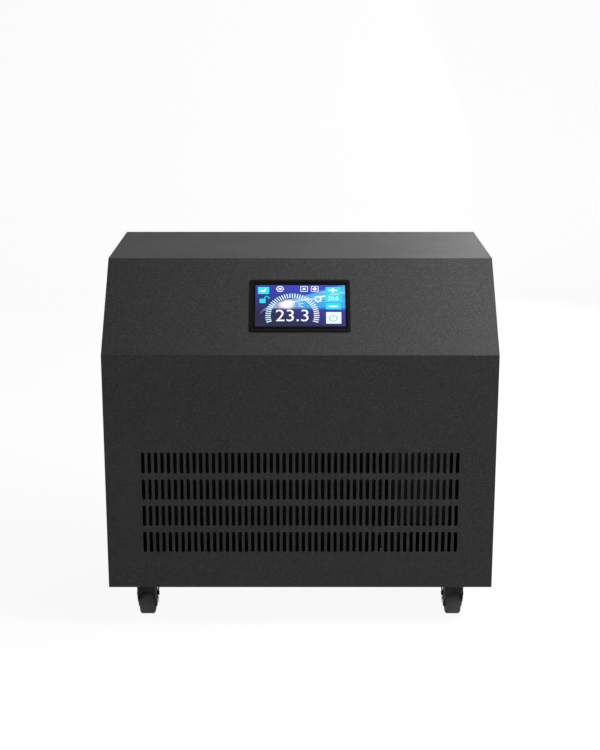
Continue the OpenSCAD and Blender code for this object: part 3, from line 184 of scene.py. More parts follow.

# Cabinet: folded steel sheets with a fine textured powder coat in black. The coat's
# grain is just under a millimetre across, and one grain in three gets a painted glint: a paler
# colour.


class Finish:
    """A surface finish: one principled shader whose varying sockets take patterns."""

    def __init__(self, name, colour, roughness, metallic=0.0, gloss=0.5):
        self.material = bpy.data.materials.new(name)
        self.material.use_nodes = True
        self.tree = self.material.node_tree
        self.shader = self.tree.nodes["Principled BSDF"]
        self.shader.inputs["Base Color"].default_value = (*colour, 1)
        self.shader.inputs["Roughness"].default_value = roughness
        self.shader.inputs["Metallic"].default_value = metallic
        self.shader.inputs["Specular IOR Level"].default_value = gloss
        self.place = self.node("ShaderNodeTexCoord", {}, {}, "Object")

    def node(self, kind, settings, values, output=0):
        """Adds a node to this finish."""
        return add_node(self.tree, kind, settings, values, output)

    def scaled(self, x, y, z):
        """The place on the piece, stretched by three factors."""
        return self.node("ShaderNodeMapping", {}, {"Vector": self.place, "Scale": (x, y, z)})

    def noise(self, scale, detail=3.0, place=None):
        """Soft cloudy noise, with about as many clouds to the metre as scale says."""
        return self.node("ShaderNodeTexNoise", {}, {
            "Vector": place or self.place, "Scale": scale, "Detail": detail, "Roughness": 0.6})

    def grains(self, scale, output="Distance"):
        """Cells round many scattered points: the distance from the point, or a colour."""
        return self.node("ShaderNodeTexVoronoi", {}, {
            "Vector": self.place, "Scale": scale}, output)

    def spread(self, pattern, low, high):
        """Stretches the part of a pattern between low and high to nought to one."""
        return self.node("ShaderNodeMapRange", {}, {
            "Value": pattern, "From Min": low, "From Max": high, "To Min": 0.0, "To Max": 1.0})

    def mixed(self, share, first, second):
        """A colour between two colours, by the colour sockets of a Mix node."""
        def four(colour):
            return colour if isinstance(colour, Pattern) else (*colour, 1)
        share_in, first_in, second_in, colour_out = 0, 6, 7, 2
        return self.node("ShaderNodeMix", {"data_type": "RGBA"}, {
            share_in: share, first_in: four(first), second_in: four(second)}, colour_out)

    def link(self, socket, pattern):
        """Feeds a pattern to one of the shader's varying sockets."""
        self.tree.links.new(pattern.socket, self.shader.inputs[socket])

    def bump(self, height, strength, distance):
        """Fine relief that is too shallow to be worth geometry."""
        bumped = self.node("ShaderNodeBump", {}, {
            "Strength": strength, "Distance": distance, "Height": height})
        self.link("Normal", bumped)

    def cover(self, *names):
        """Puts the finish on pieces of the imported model."""
        for name in names:
            for material_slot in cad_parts[name].material_slots:
                material_slot.material = self.material


coat = Finish("powder_coat", (0.011, 0.011, 0.0113), 0.7, gloss=0.3)
coat_cells = coat.grains(1100.0, "Color")
coat_share = coat.node("ShaderNodeSeparateColor", {}, {"Color": coat_cells}, "Red")
coat_grains_and_glints = coat.spread(coat_share, 0.6, 1.0)
coat_grain = coat.noise(700.0, detail=2.0)
coat_cloud = coat.noise(9.0, detail=2.0)
# Painted glints: random grains of the coat are paler in colour, standing in for glints on its
# bumps.
coat.link("Base Color", coat.mixed(
    coat_grains_and_glints * 0.85 + coat_grain * 0.15, (0.0045, 0.0045, 0.0046),
    (0.030, 0.030, 0.0308)))
coat.link("Roughness", 0.64 + coat_cloud * 0.12)
coat.bump(coat_grain * 0.6 + coat_grains_and_glints * 0.4, strength=0.4, distance=0.0004)
coat.cover("front_panel", "hood", "left_side_panel", "right_side_panel", "rear_panel",
           "base_tray")

# Panel screws: black oxide steel, pan heads with a crosswise recess, one at every fixing
# of the rear panel. Each is turned round its axis, and the recess is pressed into it.
oxide = Finish("black_oxide", (0.02, 0.02, 0.021), 0.38, metallic=0.7)
oxide_wear = oxide.noise(260.0, detail=4.0)
oxide.link("Roughness", 0.28 + oxide_wear * 0.25)
oxide.link("Base Color", oxide.mixed(oxide_wear, (0.012, 0.012, 0.013), (0.05, 0.05, 0.052)))

rear_face_y = 0.193
screw_heights = (0.1215, 0.2315, 0.347, 0.468, 0.589)
head_r, shank_r = 0.0044, 0.002
head_profile = ((1, 0), (1, 0.4), (0.93, 0.68), (0.76, 0.88), (0.5, 0.97))
recess_across, recess_wide, recess_deep = 0.0046, 0.0011, 0.0013
turn_by_row, turn_by_side = 37, 20


def turned(outline, steps):
    """Spins a closed outline of radius and y once round the Y axis."""
    bpy.ops.object.select_all(action="DESELECT")
    bpy.ops.mesh.primitive_plane_add(size=1, location=(0, 0, 0))
    shape = bpy.context.object
    bpy.ops.object.mode_set(mode="EDIT")
    bpy.ops.mesh.select_all(action="SELECT")
    bpy.ops.mesh.merge(type="CENTER")
    bpy.ops.transform.translate(value=(*outline[0], 0))
    for before, after in zip(outline, outline[1:] + outline[:1]):
        bpy.ops.mesh.extrude_region_move(TRANSFORM_OT_translate={
            "value": (after[0] - before[0], after[1] - before[1], 0)})
    bpy.ops.mesh.select_all(action="SELECT")
    bpy.ops.mesh.remove_doubles(threshold=0.00001)
    bpy.ops.mesh.spin(steps=steps, angle=math.radians(360), center=(0, 0, 0), axis=(0, 1, 0))
    bpy.ops.mesh.select_all(action="SELECT")
    bpy.ops.mesh.remove_doubles(threshold=0.00001)
    bpy.ops.mesh.dissolve_degenerate(threshold=0.000001)
    bpy.ops.mesh.select_all(action="SELECT")
    bpy.ops.mesh.normals_make_consistent(inside=False)
    bpy.ops.object.mode_set(mode="OBJECT")
    return shape


def joined(shapes):
    """Makes one piece of several shapes."""
    bpy.ops.object.select_all(action="DESELECT")
    for shape in shapes:
        shape.select_set(True)
    bpy.context.view_layer.objects.active = shapes[0]
    bpy.ops.object.join()
    return bpy.context.object


screws_low, screws_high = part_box("cabinet_screws")
head_top = screws_high.y
head_h = head_top - rear_face_y
screw = turned(
    [(0, screws_low.y), (shank_r / 2, screws_low.y), (shank_r, screws_low.y + shank_r / 2),
     (shank_r, rear_face_y)]
    + [(out * head_r, rear_face_y + up * head_h) for out, up in head_profile]
    + [(0, head_top)], steps=32)
for size in ((recess_across, recess_wide), (recess_wide, recess_across)):
    bpy.ops.object.select_all(action="DESELECT")
    bpy.ops.mesh.primitive_cube_add(size=1, location=(0, head_top, 0))
    cutter = bpy.context.object
    cutter.scale = (size[0], 2 * recess_deep, size[1])
    bpy.ops.object.select_all(action="DESELECT")
    screw.select_set(True)
    bpy.context.view_layer.objects.active = screw
    pressed = screw.modifiers.new("recess", "BOOLEAN")
    pressed.operation = "DIFFERENCE"
    pressed.solver = "EXACT"
    pressed.object = cutter
    bpy.ops.object.modifier_apply(modifier="recess")
    bpy.data.objects.remove(cutter)
    bpy.ops.object.mode_set(mode="EDIT")
    bpy.ops.mesh.select_all(action="SELECT")
    bpy.ops.mesh.remove_doubles(threshold=0.00002)
    bpy.ops.mesh.dissolve_degenerate(threshold=0.000005)
    bpy.ops.object.mode_set(mode="OBJECT")
screw_copies = []
for k, height in enumerate(screw_heights):
    for side in (-1, 1):
        copy = bpy.data.objects.new("screw", screw.data.copy())
        bpy.context.collection.objects.link(copy)
        at_x = screws_high.x - head_r if side > 0 else screws_low.x + head_r
        turn = math.radians(turn_by_row * k + turn_by_side * side)
        copy.data.transform(
            Matrix.Translation((at_x, 0, height)) @ Matrix.Rotation(turn, 4, "Y"))
        screw_copies.append(copy)
bpy.data.objects.remove(screw)
screws = joined(screw_copies)
screws.name = "rear_panel_screws"
bpy.ops.object.shade_smooth_by_angle(angle=math.radians(35))
screws.data.materials.append(oxide.material)
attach(screws, "cabinet")
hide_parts("cabinet_screws")

# Side grips: cups moulded in black plastic, with the fine spark texture of the tool.
# Each one is pushed into its cut-out and held by hooks behind the side panel. The case
# of the display and the mains inlet are moulded in the same plastic.
moulded = Finish("moulded_black", (0.012, 0.012, 0.0125), 0.5, gloss=0.35)
moulded_grain = moulded.noise(900.0, detail=3.0)
moulded.link("Roughness", 0.44 + moulded.noise(30.0) * 0.14)
moulded.link("Base Color", moulded.mixed(
    moulded_grain, (0.009, 0.009, 0.0095), (0.019, 0.019, 0.02)))
moulded.bump(moulded_grain, strength=0.25, distance=0.0002)
moulded.cover("left_handle_cup", "right_handle_cup", "display_case", "power_inlet")

# Display: a plastic bezel round a touch screen of 154 by 86 mm, let into the slope and
# held by the case behind it. The picture is drawn as thin lit shapes laid on the glass,
# in layers a few hundredths of a millimetre apart.
slope_middle = Vector((0, -0.156, 0.553))
slope_turn = Matrix.Rotation(math.radians(45), 4, "X")
glass_level = 0.0009
picture_w, picture_h = 0.154, 0.086
picture_rise = 0.0304
picture_lift, backing_lift, shape_lift, figure_lift, sign_lift = (
    0.00005, 0.00008, 0.0001, 0.00012, 0.00014)
picture_fit = Matrix.Translation((0, -0.0001, 0)) @ Matrix.Diagonal((0.985, 0.957, 1, 1))

bezel = Finish("bezel_plastic", (0.004, 0.004, 0.0042), 0.6, gloss=0.05)
bezel_grain = bezel.noise(1100.0, detail=2.0)
bezel.link("Roughness", 0.52 + bezel_grain * 0.2)
bezel.link("Base Color", bezel.mixed(
    bezel_grain, (0.0022, 0.0022, 0.0023), (0.005, 0.005, 0.0052)))
bezel.bump(bezel_grain, strength=0.15, distance=0.0001)
bezel.cover("display_bezel")

glass = Finish("screen_glass", (0.004, 0.004, 0.0045), 0.12, gloss=0.1)
glass_haze = glass.noise(18.0, detail=2.0)
glass.link("Roughness", 0.05 + glass_haze * 0.08)
glass.link("Base Color", glass.mixed(glass_haze, (0.0035, 0.0035, 0.004), (0.005, 0.005, 0.0055)))
glass.cover("touch_screen")


def lit(name, colour, second=None):
    """A lit colour behind glass, with the faint unevenness of a backlight."""
    finish = Finish(name, (0.004, 0.004, 0.005), 0.35, gloss=0.02)
    cells = finish.noise(60.0, detail=2.0)
    dim = tuple(0.9 * c for c in colour) if second is None else second
    finish.link("Emission Color", finish.mixed(finish.spread(cells, 0.3, 0.7), dim, colour))
    finish.shader.inputs["Emission Strength"].default_value = 1.0
    return finish.material


def drawn(name, material, lift):
    """Lays the shape just made on the screen and lets it ride with the cabinet."""
    shape = bpy.context.object
    shape.name = name
    bpy.ops.object.transform_apply(location=True, rotation=True, scale=True)
    shape.data.transform(
        Matrix.Translation(slope_middle) @ slope_turn
        @ Matrix.Translation((0, 0, glass_level + lift)) @ picture_fit)
    shape.data.materials.clear()
    shape.data.materials.append(material)
    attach(shape, "cabinet")


def plate(w, h, at, corner, turn=0.0):
    """Flat plate with rounded corners, in the plane of the screen."""
    bpy.ops.object.select_all(action="DESELECT")
    bpy.ops.mesh.primitive_plane_add(size=1, location=(*at, 0), rotation=(0, 0, turn))
    shape = bpy.context.object
    shape.scale = (w, h, 1)
    bpy.ops.object.transform_apply(location=False, rotation=False, scale=True)
    bpy.ops.object.mode_set(mode="EDIT")
    bpy.ops.mesh.select_all(action="SELECT")
    bpy.ops.mesh.bevel(offset=corner, segments=4, affect="VERTICES")
    bpy.ops.object.mode_set(mode="OBJECT")
    return shape


def hollow(shape, width):
    """Cuts the middle out of a flat shape and leaves a rim of the given width."""
    bpy.ops.object.select_all(action="DESELECT")
    shape.select_set(True)
    bpy.context.view_layer.objects.active = shape
    bpy.ops.object.mode_set(mode="EDIT")
    bpy.ops.mesh.select_all(action="SELECT")
    bpy.ops.mesh.inset(thickness=width)
    bpy.ops.mesh.delete(type="FACE")
    bpy.ops.object.mode_set(mode="OBJECT")
    return shape


def disc(r, at, sides=32, turn=0.0):
    """Flat disc, or with few sides a flat polygon."""
    bpy.ops.object.select_all(action="DESELECT")
    bpy.ops.mesh.primitive_circle_add(
        vertices=sides, radius=r, fill_type="NGON", location=(*at, 0), rotation=(0, 0, turn))
    return bpy.context.object


def arc(r, width, at, start, sweep, steps=24):
    """Band of a ring: a short edge spun round the middle of the ring."""
    bpy.ops.object.select_all(action="DESELECT")
    bpy.ops.mesh.primitive_plane_add(size=1, location=(0, 0, 0))
    shape = bpy.context.object
    bpy.ops.object.mode_set(mode="EDIT")
    bpy.ops.mesh.select_all(action="SELECT")
    bpy.ops.mesh.merge(type="CENTER")
    bpy.ops.transform.translate(value=(r - width / 2, 0, 0))
    bpy.ops.mesh.extrude_region_move(TRANSFORM_OT_translate={"value": (width, 0, 0)})
    bpy.ops.mesh.select_all(action="SELECT")
    bpy.ops.mesh.spin(steps=steps, angle=-math.radians(sweep), center=(0, 0, 0), axis=(0, 0, 1))
    bpy.ops.mesh.select_all(action="SELECT")
    bpy.ops.mesh.normals_make_consistent(inside=False)
    bpy.ops.object.mode_set(mode="OBJECT")
    shape.data.transform(
        Matrix.Translation((*at, 0)) @ Matrix.Rotation(math.radians(start), 4, "Z"))
    if shape.data.polygons[0].normal.z < 0:
        shape.data.flip_normals()
    return shape


def figures(words, height, at, weight=0.0):
    """Figures of the given height, centred on a point of the screen; weight makes them bold."""
    bpy.ops.object.select_all(action="DESELECT")
    bpy.ops.object.text_add(location=(0, 0, 0))
    words_object = bpy.context.object
    words_object.data.body = words
    words_object.data.offset = weight
    bpy.ops.object.convert(target="MESH")
    shape = bpy.context.object
    low = [min(v.co[k] for v in shape.data.vertices) for k in (0, 1)]
    high = [max(v.co[k] for v in shape.data.vertices) for k in (0, 1)]
    size = height / (high[1] - low[1])
    shape.data.transform(
        Matrix.Translation((*at, 0)) @ Matrix.Scale(size, 4)
        @ Matrix.Translation((-(low[0] + high[0]) / 2, -(low[1] + high[1]) / 2, 0)))
    return shape


# The picture: a dusk-blue ground with one soft bright band that rises to the right,
# white where it begins and cyan where it widens. The backlight shines through it, so it
# is one thin lit plate, the lowest of the layers.
spark_across, spark_up = 0.35, 0.545
ground = Finish("picture_ground", (0.004, 0.004, 0.005), 0.35, gloss=0.02)
axis_x = ground.node("ShaderNodeSeparateXYZ", {}, {"Vector": ground.place}, "X")
axis_z = ground.node("ShaderNodeSeparateXYZ", {}, {"Vector": ground.place}, "Z")
across = ground.spread(axis_x, -picture_w / 2, picture_w / 2)
up = ground.spread(axis_z, slope_middle.z - picture_rise, slope_middle.z + picture_rise)
brightness = ground.spread(up * 0.75 + across * 0.45, 0.3, 1.1)
dusk = ground.mixed(brightness, (0.027, 0.027, 0.08), (0.055, 0.075, 0.66))
ripple = ground.noise(30.0, detail=4.0, place=ground.scaled(1.0, 2.5, 2.5))
start = 1 - across
start_2 = start * start
start_8 = start_2 * start_2 * start_2 * start_2
band_middle = 0.40 + across * 0.28 - start_8 * start_8 * 0.35 + ripple * 0.08
band_width = across * 0.32 - 0.004
band_offset = up - band_middle
band = 1 - ground.spread(band_offset * band_offset, band_width * band_width * 0.45,
                         band_width * band_width)
streaks = ground.noise(20.0, detail=5.0, place=ground.scaled(1.0, 6.0, 6.0))
lilac_blue = ground.mixed(ground.spread(across, 0.3, 0.55), (0.42, 0.36, 0.62),
                          (0.05, 0.42, 0.85))
glow = ground.mixed(
    (ground.spread(streaks, 0.52, 0.66) * 0.6 + ground.spread(band_offset, 0.0, 0.25) * 0.3)
    .capped(0.0, 1.0), lilac_blue, (0.3, 0.85, 0.95))
ray_offset = up - across * 0.39 - 0.41 - ripple * 0.04
ray = 1 - ground.spread(ray_offset * ray_offset, 0.0001, 0.0012)
spark_offset = across - spark_across
spark_height = up - spark_up
spark = 1 - ground.spread(spark_offset * spark_offset * 2 + spark_height * spark_height,
                          0.003, 0.02)
white_share = (spark + ray * ground.spread(across, 0.25, 0.4)
               * ground.spread(streaks, 0.35, 0.6) * 0.8).capped(0.0, 1.0)
lit_glow = ground.mixed(white_share, glow, (1.0, 1.0, 1.0))
ground.link("Emission Color", ground.mixed(
    (band * ground.spread(across, 0.04, 0.2) + white_share * 0.6).capped(0.0, 1.0), dusk,
    lit_glow))
ground.shader.inputs["Emission Strength"].default_value = 1.0
plate(picture_w, picture_h, (0, 0), 0.0006)
drawn("screen_picture", ground.material, picture_lift)

screen_white = lit("lit_white", (1.0, 1.0, 1.0), (0.93, 0.96, 1.0))
screen_cyan = lit("lit_cyan", (0.03, 0.85, 0.93), (0.02, 0.76, 0.88))
screen_pale = lit("lit_pale", (1.0, 0.96, 0.88), (0.9, 0.9, 0.92))
screen_teal = lit("lit_teal", (0.1, 0.62, 0.75))
screen_icy = lit("lit_icy", (0.5, 0.92, 1.0), (0.75, 0.96, 1.0))

# The gauge: 37 short bars on an arc of 215 degrees, icy at the left end and warm
# white at the right end, round the reading and its unit.
gauge_middle, gauge_r = Vector((-0.0134, -0.0206)), 0.0416
gauge_bars, gauge_icy_bars = 37, 24
gauge_start, gauge_sweep = 197.5, 215
bar_l, bar_w = 0.0092, 0.0022
ticks = {"left": [], "right": []}
for k in range(gauge_bars):
    angle = math.radians(gauge_start - gauge_sweep * k / (gauge_bars - 1))
    at = gauge_middle + gauge_r * Vector((math.cos(angle), math.sin(angle)))
    ticks["left" if k < gauge_icy_bars else "right"].append(
        plate(bar_l, bar_w, at, 0.0003, angle))
joined(ticks["left"])
drawn("gauge_bars_left", screen_icy, shape_lift)
joined(ticks["right"])
drawn("gauge_bars_right", screen_pale, shape_lift)
figures("23.3", 0.0243, (-0.0138, -0.0205))
drawn("gauge_reading", screen_white, figure_lift)
joined([arc(0.0013, 0.0006, (-0.0021, 0.0043), 0, 360, 16),
        arc(0.0036, 0.0011, (0.0027, 0.0012), 45, 270)])
drawn("gauge_unit", screen_white, figure_lift)

# Status signs along the top edge and beside the gauge: a pipe, a cell, a fan, a pump, a
# lock and a gear. Each is a group of flat lit shapes, two of them in a rounded frame.
cell_at, fan_at, pump_at = (-0.0348, 0.0352), (0.0067, 0.0352), (0.0251, 0.0352)
frame_w, frame_h, frame_corner, frame_rim = 0.0130, 0.0120, 0.0015, 0.0012
gear_x, gear_y = 0.0306, 0.0136
gear_ring_r, gear_tooth, gear_tooth_r, gear_middle_r = 0.0044, 0.0022, 0.0061, 0.0030
plate(0.0192, 0.0149, (-0.0632, 0.0320), 0.0008)
drawn("sign_pipe_ground", screen_cyan, shape_lift)
joined([plate(0.0100, 0.0034, (-0.0648, 0.0308), 0.0016),
        plate(0.0040, 0.0014, (-0.0600, 0.0342), 0.0005)])
drawn("sign_pipe", screen_white, sign_lift)
joined([hollow(disc(0.0071, cell_at, 6, math.radians(30)), 0.0016),
        disc(0.0030, cell_at, 6, math.radians(30))])
drawn("sign_cell", screen_white, shape_lift)
joined([hollow(plate(frame_w, frame_h, fan_at, frame_corner), frame_rim),
        disc(0.0022, fan_at),
        plate(0.0076, 0.0013, fan_at, 0.0004, math.radians(45)),
        plate(0.0076, 0.0013, fan_at, 0.0004, math.radians(-45))])
drawn("sign_fan", screen_white, shape_lift)
joined([hollow(plate(frame_w, frame_h, pump_at, frame_corner), frame_rim),
        disc(0.0034, pump_at),
        plate(0.0088, 0.0014, pump_at, 0.0004)])
drawn("sign_pump", screen_white, shape_lift)
joined([plate(0.0104, 0.0090, (-0.0646, 0.0100), 0.0014),
        arc(0.0037, 0.0016, (-0.0573, 0.0156), -20, 200, 12),
        plate(0.0016, 0.0040, (-0.0610, 0.0140), 0.0004)])
drawn("sign_lock", screen_cyan, shape_lift)
joined([arc(gear_ring_r, gear_tooth, (gear_x, gear_y), 0, 360, 24)]
       + [plate(gear_tooth, gear_tooth,
                (gear_x + gear_tooth_r * math.cos(a), gear_y + gear_tooth_r * math.sin(a)),
                0.0004, a) for a in [math.radians(45 * k) for k in range(8)]])
drawn("sign_gear", screen_white, shape_lift)
disc(gear_middle_r, (gear_x, gear_y), 24)
drawn("sign_gear_middle", screen_teal, backing_lift)

# Buttons in a column at the right: more, the set value, less, and the power button. Each
# is a lit plate with its sign on it, and the three cyan plates are one piece.
button_w, button_h, button_corner = 0.0259, 0.0131, 0.0008
joined([plate(button_w, button_h, (0.0567, 0.0328), button_corner),
        plate(0.0287, 0.0150, (0.0572, 0.0155), button_corner),
        plate(button_w, button_h, (0.0567, -0.0011), button_corner)])
drawn("button_grounds", screen_cyan, shape_lift)
joined([plate(0.0154, 0.0030, (0.0562, 0.0323), 0.0006),
        plate(0.0034, 0.0088, (0.0562, 0.0323), 0.0006),
        plate(0.0159, 0.0032, (0.0568, -0.0012), 0.0006)])
drawn("button_signs", screen_white, sign_lift)
figures("20.0", 0.0078, (0.0566, 0.0152), 0.02)
drawn("set_value", screen_white, sign_lift)
plate(button_w, 0.0240, (0.0571, -0.0254), 0.0012)
drawn("power_button", screen_white, shape_lift)
joined([arc(0.0064, 0.0019, (0.0562, -0.0262), 120, 300),
        plate(0.0019, 0.0062, (0.0562, -0.0210), 0.0005)])
drawn("power_sign", screen_cyan, sign_lift)

# Castors: black painted forks on zinc plated plates, with plated axles and bolts.
# The wheels are nylon hubs with grey rubber tyres, the brake levers painted steel.
zinc = Finish("zinc_plate", (0.5, 0.51, 0.52), 0.38, metallic=1.0)
zinc_bloom = zinc.noise(70.0, detail=5.0)
zinc_grains = zinc.grains(160.0)
zinc.link("Roughness", 0.28 + zinc_bloom * 0.3)
zinc.link("Base Color", zinc.mixed(
    zinc.spread(zinc_bloom * 0.6 + zinc_grains * 0.5, 0.2, 0.75), (0.36, 0.37, 0.38),
    (0.6, 0.61, 0.62)))
zinc.bump(zinc_bloom, strength=0.12, distance=0.0002)
zinc.cover("castor_plates", "castor_bolts")
castors = ("front_left", "front_right", "rear_left", "rear_right")
zinc.cover(*[f"{castor}_castor_axle" for castor in castors])

fork_paint = Finish("fork_paint", (0.011, 0.011, 0.0115), 0.6, gloss=0.05)
fork_drift = fork_paint.noise(40.0, detail=3.0)
fork_grit = fork_paint.noise(650.0, detail=2.0)
fork_paint.link("Roughness", 0.52 + fork_drift * 0.16)
fork_paint.link("Base Color", fork_paint.mixed(
    fork_drift, (0.013, 0.013, 0.0134), (0.019, 0.019, 0.0195)))
fork_paint.bump(fork_drift + fork_grit * 0.2, strength=0.2, distance=0.0004)
fork_paint.cover(*[f"{castor}_castor_fork" for castor in castors])
fork_paint.cover("front_left_brake_lever", "front_right_brake_lever")

nylon = Finish("hub_nylon", (0.014, 0.014, 0.0145), 0.5, gloss=0.4)
nylon_haze = nylon.noise(120.0, detail=3.0)
nylon.link("Roughness", 0.4 + nylon_haze * 0.2)
nylon.link("Base Color", nylon.mixed(nylon_haze, (0.01, 0.01, 0.0105), (0.019, 0.019, 0.02)))
nylon.bump(nylon_haze, strength=0.15, distance=0.0002)
nylon.cover(*[f"{castor}_wheel_hub" for castor in castors])

# Tyres: soft grey rubber moulded round the hubs, a little dusty where they roll. They
# are the only part of the chiller that touches the floor.
rubber = Finish("tyre_rubber", (0.031, 0.031, 0.0315), 0.75, gloss=0.3)
rubber_grain = rubber.noise(420.0, detail=4.0)
rubber_scuff = rubber.noise(45.0, detail=4.0, place=rubber.scaled(3.0, 1.0, 1.0))
rubber.link("Roughness", 0.66 + rubber_grain * 0.2)
rubber.link("Base Color", rubber.mixed(
    rubber.spread(rubber_scuff * 0.7 + rubber_grain * 0.4, 0.3, 0.8),
    (0.029, 0.029, 0.0295), (0.05, 0.05, 0.0505)))
rubber.bump(rubber_grain + rubber_scuff * 0.5, strength=0.3, distance=0.0004)
rubber.cover(*[f"{castor}_wheel_tyre" for castor in castors])

# Condenser: thin aluminium fins on rows of copper tube, the whole block dipped in a
# dull black coating. It stands on two end plates. Dust lies on the fins in clouds, and fine bands
# at the fins' pitch are painted paler on their edges and darker in the gaps between them.
fins = Finish("fin_coating", (0.004, 0.004, 0.0042), 0.7, gloss=0.12)
fin_rows_and_gap_shade = fins.node("ShaderNodeTexWave", {"wave_type": "BANDS", "bands_direction": "Z"}, {
    "Vector": fins.place, "Scale": 90.0, "Distortion": 0.4, "Detail": 1.0})
fin_dust = fins.noise(24.0, detail=4.0)
fins.link("Roughness", 0.6 + fin_dust * 0.25)
# Painted light and shade: the colour is paler in bands on the fins' edges and darker in the gaps
# between fins, with real dust in clouds.
fins.link("Base Color", fins.mixed(
    fins.spread(fin_dust * 0.8 + fin_rows_and_gap_shade * 0.2, 0.25, 0.85), (0.0022, 0.0022, 0.0023),
    (0.0065, 0.0063, 0.006)))
fins.bump(fin_rows_and_gap_shade, strength=0.3, distance=0.0005)
fins.cover("condenser_fins", "condenser_tubes")

# Inner sheet metal: the fan's shroud, the bulkhead and the motor's cross are pressed
# steel in satin black, and so are the compressor's shell, the accumulator and the cap
# of the evaporator.
inner_paint = Finish("inner_paint", (0.006, 0.006, 0.0063), 0.5, gloss=0.2)
inner_orange_peel = inner_paint.noise(180.0, detail=2.0)
inner_dust = inner_paint.noise(14.0, detail=5.0)
inner_paint.link("Roughness", 0.42 + inner_dust * 0.25)
inner_paint.link("Base Color", inner_paint.mixed(
    inner_paint.spread(inner_dust, 0.3, 0.8), (0.004, 0.004, 0.0042), (0.011, 0.0108, 0.0105)))
inner_paint.bump(inner_orange_peel, strength=0.12, distance=0.0003)
inner_paint.cover("bulkhead", "fan_shroud", "fan_motor", "compressor_shell",
                  "suction_accumulator", "evaporator_cap")

# Fan: five blades pressed from bright aluminium sheet on a turned hub. The sheet
# keeps faint rolling lines, and the leading edges have picked up a grey film.
fan_metal = Finish("fan_aluminium", (0.35, 0.36, 0.37), 0.4, metallic=1.0)
fan_lines = fan_metal.noise(60.0, detail=4.0, place=fan_metal.scaled(1.0, 6.0, 24.0))
fan_film = fan_metal.noise(12.0, detail=4.0)
fan_metal.link("Roughness", 0.3 + fan_lines * 0.15 + fan_film * 0.15)
fan_metal.link("Base Color", fan_metal.mixed(
    fan_metal.spread(fan_film, 0.35, 0.7), (0.3, 0.31, 0.32), (0.42, 0.43, 0.44)))
fan_metal.bump(fan_lines, strength=0.15, distance=0.0002)
fan_metal.cover("fan_rotor")

# Grommets and hoses: black rubber, matt, with a woven layer just under the skin of
# the hoses. The hoses are pushed on their stubs, and the compressor's foot plate stands
# on the grommets.
hose = Finish("hose_rubber", (0.012, 0.012, 0.0125), 0.6, gloss=0.3)
hose_weave = hose.node("ShaderNodeTexWave", {"wave_type": "BANDS", "bands_direction": "DIAGONAL"}, {
    "Vector": hose.place, "Scale": 160.0, "Distortion": 1.5, "Detail": 2.0})
hose_bloom = hose.noise(30.0, detail=3.0)
hose.link("Roughness", 0.5 + hose_bloom * 0.2)
hose.link("Base Color", hose.mixed(hose_bloom, (0.009, 0.009, 0.0095), (0.017, 0.017, 0.0178)))
hose.bump(hose_weave, strength=0.25, distance=0.0003)
hose.cover("water_hoses", "compressor_grommets")

# Insulation: closed-cell foam in black round the evaporator and the suction pipes, which
# is slit along one side and glued shut. Its cells show as shallow pits.
foam = Finish("insulation_foam", (0.012, 0.012, 0.0125), 0.85, gloss=0.2)
foam_cells = foam.grains(260.0)
foam_dents = foam.noise(22.0, detail=3.0)
foam.link("Roughness", 0.78 + foam_cells * 0.2)
foam.link("Base Color", foam.mixed(
    foam.spread(foam_cells * 0.7 + foam_dents * 0.5, 0.3, 0.9), (0.008, 0.008, 0.0083),
    (0.019, 0.019, 0.0198)))
foam.bump(foam_cells + foam_dents * 2.0, strength=0.4, distance=0.0006)
foam.cover("evaporator_shell", "suction_pipes")

# Pipes: bare copper drawn tube with a browned skin, brazed into the drier, which is a
# spun copper cartridge.
copper = Finish("copper_tube", (0.55, 0.27, 0.15), 0.35, metallic=1.0)
copper_tarnish = copper.noise(35.0, detail=5.0)
copper_draw = copper.noise(200.0, detail=2.0)
copper.link("Roughness", 0.26 + copper_tarnish * 0.26)
copper.link("Base Color", copper.mixed(
    copper.spread(copper_tarnish, 0.35, 0.7), (0.58, 0.3, 0.18), (0.3, 0.14, 0.085)))
copper.bump(copper_draw, strength=0.08, distance=0.0002)
copper.cover("liquid_pipes", "discharge_pipe", "filter_drier")

# Pump: a moulded casing of glass-filled plastic and a pale moulded impeller, with a
# motor in dark enamel that is flanged to the casing.
pump_plastic = Finish("pump_casing", (0.014, 0.014, 0.0148), 0.5, gloss=0.4)
pump_flow = pump_plastic.noise(60.0, detail=4.0, place=pump_plastic.scaled(1.0, 1.0, 4.0))
pump_plastic.link("Roughness", 0.42 + pump_flow * 0.2)
pump_plastic.link("Base Color", pump_plastic.mixed(
    pump_flow, (0.01, 0.01, 0.0105), (0.02, 0.02, 0.021)))
pump_plastic.bump(pump_flow, strength=0.12, distance=0.0003)
pump_plastic.cover("pump_volute")

impeller = Finish("impeller_plastic", (0.5, 0.5, 0.47), 0.45, gloss=0.45)
impeller_tint = impeller.noise(50.0, detail=3.0)
impeller.link("Roughness", 0.38 + impeller_tint * 0.15)
impeller.link("Base Color", impeller.mixed(impeller_tint, (0.42, 0.42, 0.39), (0.56, 0.56, 0.53)))
impeller.cover("pump_impeller")

motor_enamel = Finish("motor_enamel", (0.03, 0.035, 0.045), 0.4, gloss=0.4)
motor_peel = motor_enamel.noise(220.0, detail=2.0)
motor_dust = motor_enamel.noise(16.0, detail=4.0)
motor_enamel.link("Roughness", 0.32 + motor_dust * 0.25)
motor_enamel.link("Base Color", motor_enamel.mixed(
    motor_dust, (0.022, 0.026, 0.036), (0.042, 0.046, 0.055)))
motor_enamel.bump(motor_peel, strength=0.15, distance=0.0003)
motor_enamel.cover("pump_motor")

